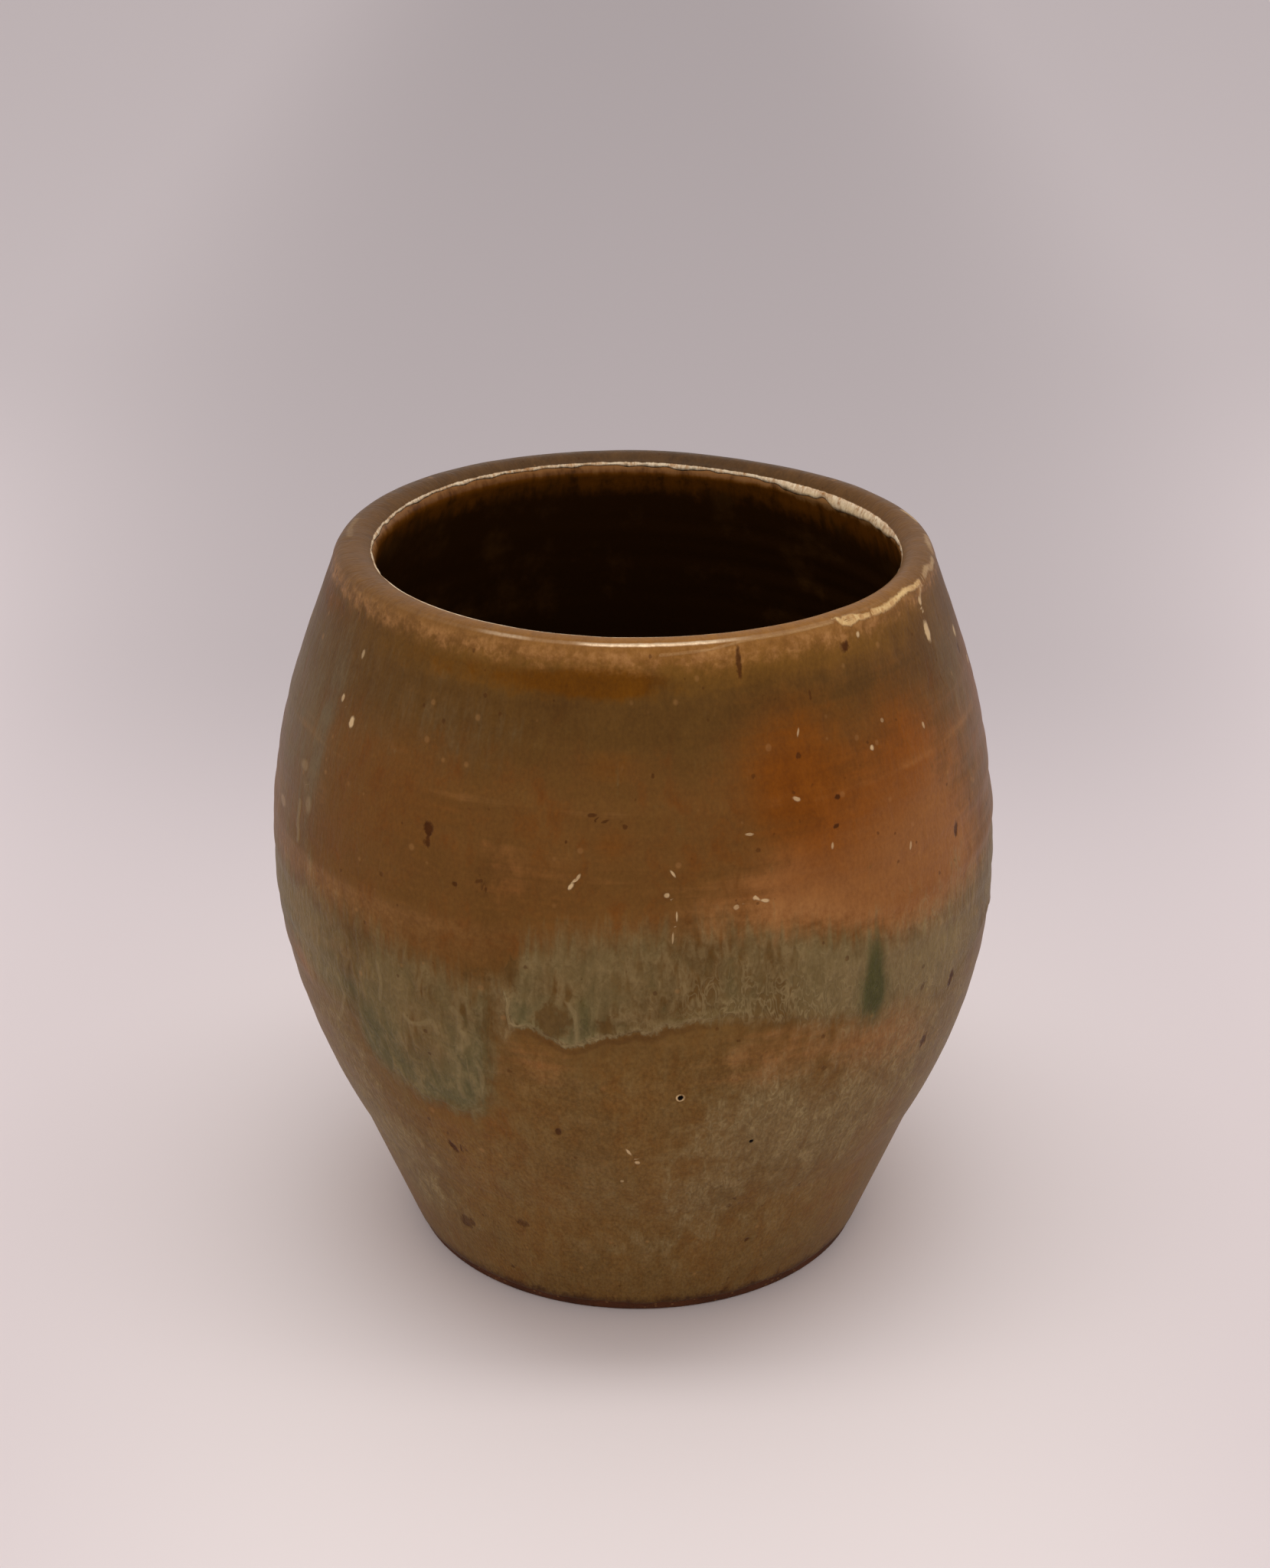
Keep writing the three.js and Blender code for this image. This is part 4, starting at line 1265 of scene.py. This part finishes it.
def spaced(start, end, first, last):
    """Places from start to end whose spacing grows evenly from first to last."""
    count = max(2, int(round(abs(end - start) * 2 / (first + last))))
    share = np.linspace(0, 1, count + 1)
    grow = first * share + (last - first) * share * share / 2
    return start + (end - start) * grow / grow[-1]


def set_down(mesh, settings, angle, radius, height):
    """Moves a draped mesh to where the pot stands, and what lies on its axis to the middle."""
    spot = bend(settings, angle, radius, height)
    middle = radius < ON_AXIS
    spot[middle] = [(-off_axis(settings, h), 0.0, h) for h in height[middle]]
    move_to(mesh, spot)


class VASE_OT_throw_clay(bpy.types.Operator):
    """Throws the clay body: wall, lip, floor and turned foot"""

    bl_idname = "vase.throw_clay"
    bl_label = "Throw the clay body"

    def execute(self, context):
        mesh = spun("stoneware_body_looks", underside() + clay_skin(), CLAY_COLUMNS)
        drape_clay(mesh, context.scene.vase_throwing)
        material = fired_clay("Fired clay", context.scene.vase_glaze)
        finish_piece(mesh, "stoneware_body", material)
        return {"FINISHED"}


def underside():
    """Profile of the recess, the foot ring and its bevels, from the axis outwards."""
    corners = [
        (0.0, RECESS_DEPTH), (6.0, RECESS_DEPTH), (12.0, RECESS_DEPTH),
        (RING_INSIDE - RECESS_SLOPE - 0.6, RECESS_DEPTH), (RING_INSIDE - RECESS_SLOPE, RECESS_DEPTH - 0.35),
        (RING_INSIDE - 0.25, FOOT_BEVEL), (RING_INSIDE, FOOT_BEVEL * 0.4), (RING_INSIDE + FOOT_BEVEL, 0.0),
        (RING_OUTSIDE - FOOT_BEVEL, 0.0), (RING_OUTSIDE - 0.12, FOOT_BEVEL * 0.35),
    ]
    profile = []
    for (r0, z0), (r1, z1) in zip(corners, corners[1:]):
        steps = max(1, int(math.hypot(r1 - r0, z1 - z0) / FOOT_STEP))
        for k in range(steps):
            share = k / steps
            profile.append((UNDERNEATH, 0.0, r0 + (r1 - r0) * share, z0 + (z1 - z0) * share))
    profile.append((UNDERNEATH, 0.0, *corners[-1]))
    return profile


def clay_depth(along):
    """How deep the clay lies under the finished surface near the foot, where the coat thins out."""
    return float(COAT_START + (OUTER_COATS - COAT_START) * smooth(COAT_LINE, FULL_COAT, along))


def clay_skin():
    """Profile of the clay under the coats, from the foot up the outside and down the inside to the axis."""
    lip, mouth, middle = SKIN.mark["lip"], SKIN.mark["mouth"], SKIN.mark["middle"]
    profile = [(s, -clay_depth(s)) for s in np.arange(SKIN.at_height(FOOT_BEVEL), FULL_COAT, 0.2)]
    profile += [(s, -OUTER_COATS) for s in np.arange(SKIN.at_height(6.8), lip, WALL_STEP)]
    profile += [(s, -LIP_COATS) for s in np.arange(lip + 0.4, mouth + 0.6, 0.4)]
    profile += [(s, -LINER_COAT) for s in np.arange(mouth + WALL_STEP, middle, WALL_STEP)]
    profile.append((middle, -LINER_COAT))
    return profile


def drape_clay(mesh, settings):
    along, lift = column(mesh, "along"), column(mesh, "lift")
    places = positions(mesh)
    angle = angles_of(places)
    wall = along >= 0
    radius, height = SKIN.place(along, lift + relief(settings, angle, along))
    under = np.hypot(places[:, 0], places[:, 1])
    # A shallow spiral from turning the recess
    turned = 0.09 * np.sin(under * math.tau / TURNING_PITCH + np.radians(angle))
    turned *= (under < RING_INSIDE - 2) * smooth(0.5, 3, under)
    turned *= smooth(6, 1, places[:, 2]) * (~wall)
    radius = np.where(wall, radius, under)
    height = np.where(wall, height, places[:, 2] + turned)
    set_down(mesh, settings, angle, radius, height)


class VASE_OT_dip_base_coat(bpy.types.Operator):
    """Dips the outside in the brown base coat, which stops just above the foot"""

    bl_idname = "vase.dip_base_coat"
    bl_label = "Dip the brown base coat"

    def execute(self, context):
        settings = context.scene.vase_throwing
        mesh = spun("base_glaze_looks", base_profile(), COLUMNS)
        drape_base(mesh, settings)
        refine(mesh, [(at, level) for at, level, *_ in PINHOLES], 1.5, 3)
        mark_glaze(mesh, *drape_base(mesh, settings))
        material = outside_glaze("Brown base glaze", context.scene.vase_glaze)
        finish_piece(mesh, "base_glaze", material)
        return {"FINISHED"}


def rough_rows(rows, start=0.0):
    """Adds a rough radius and height to each row, so that the profile never touches itself when spun."""
    for share, side in rows:
        along = (start + share) / 3 * SKIN.mark["mouth"] + 1.0
        yield share, side, *SKIN.place(along, -1.2 * side)


def base_profile():
    """Rows of share and side: side 0 is the surface, 1 the back on the clay.

    Share 0 to 1 runs from the glaze line to the running edge, 1 to 2 on under the top coat to the lip, and
    2 to 3 over the lip to the mouth.
    """
    lip, mouth = SKIN.mark["lip"], SKIN.mark["mouth"]
    shares = [*spaced(0, 1, 0.004, 0.0085), *(1 + spaced(0, 1, 0.006, 0.12)[1:])]
    shares += [2 + (s - lip) / (mouth - lip) for s in np.linspace(lip, mouth, 9)[1:]]
    return list(rough_rows([(share, 0.0) for share in shares] + [(share, 1.0) for share in BASE_BACK]))


def drape_base(mesh, settings):
    share, side = column(mesh, "along"), column(mesh, "lift")
    angle = angles_of(unlean(positions(mesh), settings))
    ragged = wobble(angle, 14, 2.2) + 0.6 * wobble(angle, 4, 4.4)
    line = COAT_LINE + settings.ragged_foot / MM * ragged
    edge = SKIN.at_height(on_ring(EDGE_RING, angle))
    lip, mouth = SKIN.mark["lip"], SKIN.mark["mouth"]
    along = np.where(share < 1, line + (edge - line) * share, edge + (lip - edge) * (share - 1))
    along = np.where(share > 2, lip + (mouth - lip) * (share - 2), along)
    rounding = 0.14 * (1 - np.sqrt(np.clip((along - line) / 0.7, 0, 1)))
    surface = -(TOP_COAT * smooth(0.2, 3.0, above_edge(angle, along))) - rounding + pits(angle, along)
    depth = np.where(share > 2, LIP_COATS, OUTER_COATS)
    thin = BASE_START + (OUTER_COATS - COAT_START) * smooth(COAT_LINE, FULL_COAT, along)
    lift = np.where(side > 0.5, -np.minimum(depth, thin), surface) + relief(settings, angle, along)
    move_to(mesh, bend(settings, angle, *SKIN.place(along, lift)))
    return angle, along


def unlean(places, settings):
    """Undoes the lean of a draped mesh, so that angles are read round the axis of throwing."""
    straight = places.copy()
    if places[:, 2].max() > CREST[1] - 1.5:
        straight[:, 0] += off_axis(settings, places[:, 2])
    return straight


class VASE_OT_pour_top_coat(bpy.types.Operator):
    """Pours the runny top coat over rim, shoulder and belly, down to its running edge"""

    bl_idname = "vase.pour_top_coat"
    bl_label = "Pour the running top coat"

    def execute(self, context):
        mesh = spun("top_glaze_looks", top_profile(), COLUMNS)
        mark_glaze(mesh, *drape_top(mesh, context.scene.vase_throwing))
        material = outside_glaze("Running top glaze", context.scene.vase_glaze)
        finish_piece(mesh, "top_glaze", material)
        return {"FINISHED"}


def top_profile():
    """Rows of share and side as in the base coat, but share 0 to 1 runs from the edge to the lip."""
    shares = [*spaced(0, 0.035, 0.0026, 0.0034), *(0.035 + spaced(0, 0.965, 0.0045, 0.0095)[1:])]
    shares += [1 + share for share in np.linspace(0, 1, 38)[1:]]
    return list(rough_rows([(share, 0.0) for share in shares] + [(share, 1.0) for share in TOP_BACK], 0.8))


def drape_top(mesh, settings):
    share, side = column(mesh, "along"), column(mesh, "lift")
    angle = angles_of(positions(mesh))
    edge = SKIN.at_height(on_ring(EDGE_RING, angle))
    lip, mouth = SKIN.mark["lip"], SKIN.mark["mouth"]
    hang = on_ring(RINGS["hang"], angle)
    drips = hang * (0.9 + 0.4 * wobble(angle, 9, 6.6) + 0.5 * wobble(angle, 3.2, 8.1))
    inner = mouth - 1.65 + np.maximum(drips, 0.35)
    along = np.where(share <= 1, edge + (lip - edge) * share, lip + (inner - lip) * (share - 1))
    above = above_edge(angle, along)
    crisp = on_ring(RINGS["crisp"], angle)
    bead = (0.03 + settings.bead_height / MM * crisp) * bump(above, 0.6, 0.42)
    bead += 0.3 * settings.bead_height / MM * bump(above, 2.6, 1.8) * crisp
    rise = -TUCK + (TUCK + bead) * smooth(0.0, 0.4, above)
    to_mouth = np.clip((inner - along) / 0.5, 0, 1)
    swell = 0.04 + 0.08 * smooth(mouth - 1.8, mouth - 1.3, along) * smooth(0.5, 1.6, hang)
    rise = np.where(share > 1, -LINER_DIP + (LINER_DIP + swell) * np.sqrt(to_mouth) + bead, rise)
    under = -(TOP_COAT * smooth(0.2, 3.0, above)) - TUCK * (above < 0.2)
    under = np.where(share > 1.9, -TUCK - 0.12, under)
    lift = np.where(side > 0.5, under, rise) + relief(settings, angle, along)
    move_to(mesh, bend(settings, angle, *SKIN.place(along, lift)))
    return angle, along


class VASE_OT_pour_liner(bpy.types.Operator):
    """Pours the dark liner glaze into the inside, over wall and floor"""

    bl_idname = "vase.pour_liner"
    bl_label = "Pour the liner"

    def execute(self, context):
        start, middle = SKIN.mark["mouth"] - 2.2, SKIN.mark["middle"]
        back = [(s, -LINER_COAT) for s in np.linspace(start, middle, 60)]
        surface = [(s, 0.0) for s in spaced(start, middle, 0.35, 0.9)]
        mesh = spun("liner_glaze_looks", back[::-1] + surface, LINER_COLUMNS)
        drape_liner(mesh, context.scene.vase_throwing)
        material = liner_glaze("Liner glaze", context.scene.vase_glaze)
        finish_piece(mesh, "liner_glaze", material)
        return {"FINISHED"}


def drape_liner(mesh, settings):
    along, lift = column(mesh, "along"), column(mesh, "lift")
    places = positions(mesh)
    angle = angles_of(places)
    reach = np.hypot(places[:, 0], places[:, 1])
    past_mouth = along - SKIN.mark["mouth"]
    on_surface = lift > -0.01
    lift = np.where(on_surface, -LINER_DIP * (1 - smooth(0.6, 3.0, past_mouth)), lift)
    # The fingers' spiral over the floor
    spiral = 0.16 * np.sin(math.tau * reach / SPIRAL_PITCH + np.radians(angle))
    spiral *= smooth(26, 15, SKIN.mark["middle"] - along) * smooth(0.5, 4, reach) * on_surface
    radius, height = SKIN.place(along, lift + relief(settings, angle, along) + spiral)
    set_down(mesh, settings, angle, np.where(reach < ON_AXIS, 0.0, radius), height)
    keep(mesh, "past_mouth", past_mouth)
    keep(mesh, "hang", on_ring(RINGS["hang"], angle))


# Stage


class VASE_OT_set_studio(bpy.types.Operator):
    """Sets the floor, the light and the camera of the photograph"""

    bl_idname = "vase.set_studio"
    bl_label = "Set the studio"

    def execute(self, context):
        studio = context.scene.vase_studio
        shape = bmesh.new()
        bmesh.ops.create_circle(shape, cap_ends=True, cap_tris=False, segments=96, radius=FLOOR_RADIUS)
        mesh = bpy.data.meshes.new("floor")
        shape.to_mesh(mesh)
        shape.free()
        mesh.materials.append(paper("Pale paper", studio))
        floor = bpy.data.objects.new("floor", mesh)
        context.scene.collection.objects.link(floor)

        lamp = bpy.data.lights.new("soft_box", "AREA")
        lamp.shape = "RECTANGLE"
        lamp.size, lamp.size_y = LAMP_SIZE
        lamp.energy = studio.lamp
        box = bpy.data.objects.new("soft_box", lamp)
        box.location = LAMP_PLACE
        context.scene.collection.objects.link(box)

        world = bpy.data.worlds.new("studio")
        context.scene.world = world
        world.use_nodes = True
        background = world.node_tree.nodes["Background"]
        background.inputs["Color"].default_value = FILL_COLOUR
        background.inputs["Strength"].default_value = studio.sky

        camera = bpy.data.cameras.new("camera")
        camera.sensor_width = SENSOR_WIDTH
        camera.lens = LENS
        camera.clip_start = 0.01
        camera.clip_end = 20.0
        eye = bpy.data.objects.new("camera", camera)
        eye.location = CAMERA_PLACE
        eye.rotation_euler = (math.radians(90 - CAMERA_DOWN), math.radians(CAMERA_ROLL), 0.0)
        context.scene.collection.objects.link(eye)
        context.scene.camera = eye
        context.scene.view_settings.view_transform = "Standard"
        return {"FINISHED"}


def paper(name, studio):
    """Pale paper with the fall of light painted on: lighter before the pot and darker to the sides and far
    behind, with a painted shadow behind the pot and painted warm bounce light at its foot.
    """
    recipe = Recipe(name)
    x, y, _ = recipe.place()
    # Painted fall of light: the tone darkens to the sides and far behind
    tone = recipe.blend(x.size().rise(0.03, 0.09), studio.floor, studio.floor_side)
    tone = tone.under(y.rise(0.0, 0.16), studio.floor_middle).under(y.rise(0.10, 0.42), studio.floor_far)
    # Painted shadow: a darker patch on the paper behind the pot
    behind = (x * x / 0.022).fall(0.0, 1.3) * y.rise(0.0, 0.2)
    # Painted warm bounce light from the pot, on the paper round its foot
    near = (x * x + y * y).root().fall(0.029, 0.048)
    tone = tone.under(behind * 0.84, studio.floor_painted_shadow).under(near * 0.15, studio.floor_painted_bounce)
    return recipe.close(Base_Color=tone, Roughness=0.9, Specular_IOR_Level=0.1)


class VASE_PT_workshop(bpy.types.Panel):
    """Lists the steps that make the vase"""

    bl_label = "Stoneware Vase"
    bl_idname = "VASE_PT_workshop"
    bl_space_type = "VIEW_3D"
    bl_region_type = "UI"
    bl_category = "Vase"

    def draw(self, context):
        layout = self.layout
        for group in (context.scene.vase_throwing, context.scene.vase_glaze, context.scene.vase_studio):
            box = layout.box()
            for name in group.__annotations__:
                box.prop(group, name)
        for operator in STEPS:
            layout.operator(operator.bl_idname)


SETTINGS = {"vase_throwing": ThrowingSettings, "vase_glaze": GlazeSettings, "vase_studio": StudioSettings}
STEPS = (
    VASE_OT_throw_clay, VASE_OT_dip_base_coat, VASE_OT_pour_top_coat, VASE_OT_pour_liner, VASE_OT_set_studio,
)


def register():
    for group in SETTINGS.values():
        bpy.utils.register_class(group)
    for name, group in SETTINGS.items():
        setattr(bpy.types.Scene, name, bpy.props.PointerProperty(type=group))
    for step in STEPS:
        bpy.utils.register_class(step)
    bpy.utils.register_class(VASE_PT_workshop)


def unregister():
    bpy.utils.unregister_class(VASE_PT_workshop)
    for step in reversed(STEPS):
        bpy.utils.unregister_class(step)
    for name in SETTINGS:
        delattr(bpy.types.Scene, name)
    for group in SETTINGS.values():
        bpy.utils.unregister_class(group)


def main():
    register()
    bpy.ops.vase.throw_clay()
    bpy.ops.vase.dip_base_coat()
    bpy.ops.vase.pour_top_coat()
    bpy.ops.vase.pour_liner()
    bpy.ops.vase.set_studio()


if __name__ == "__main__":
    main()
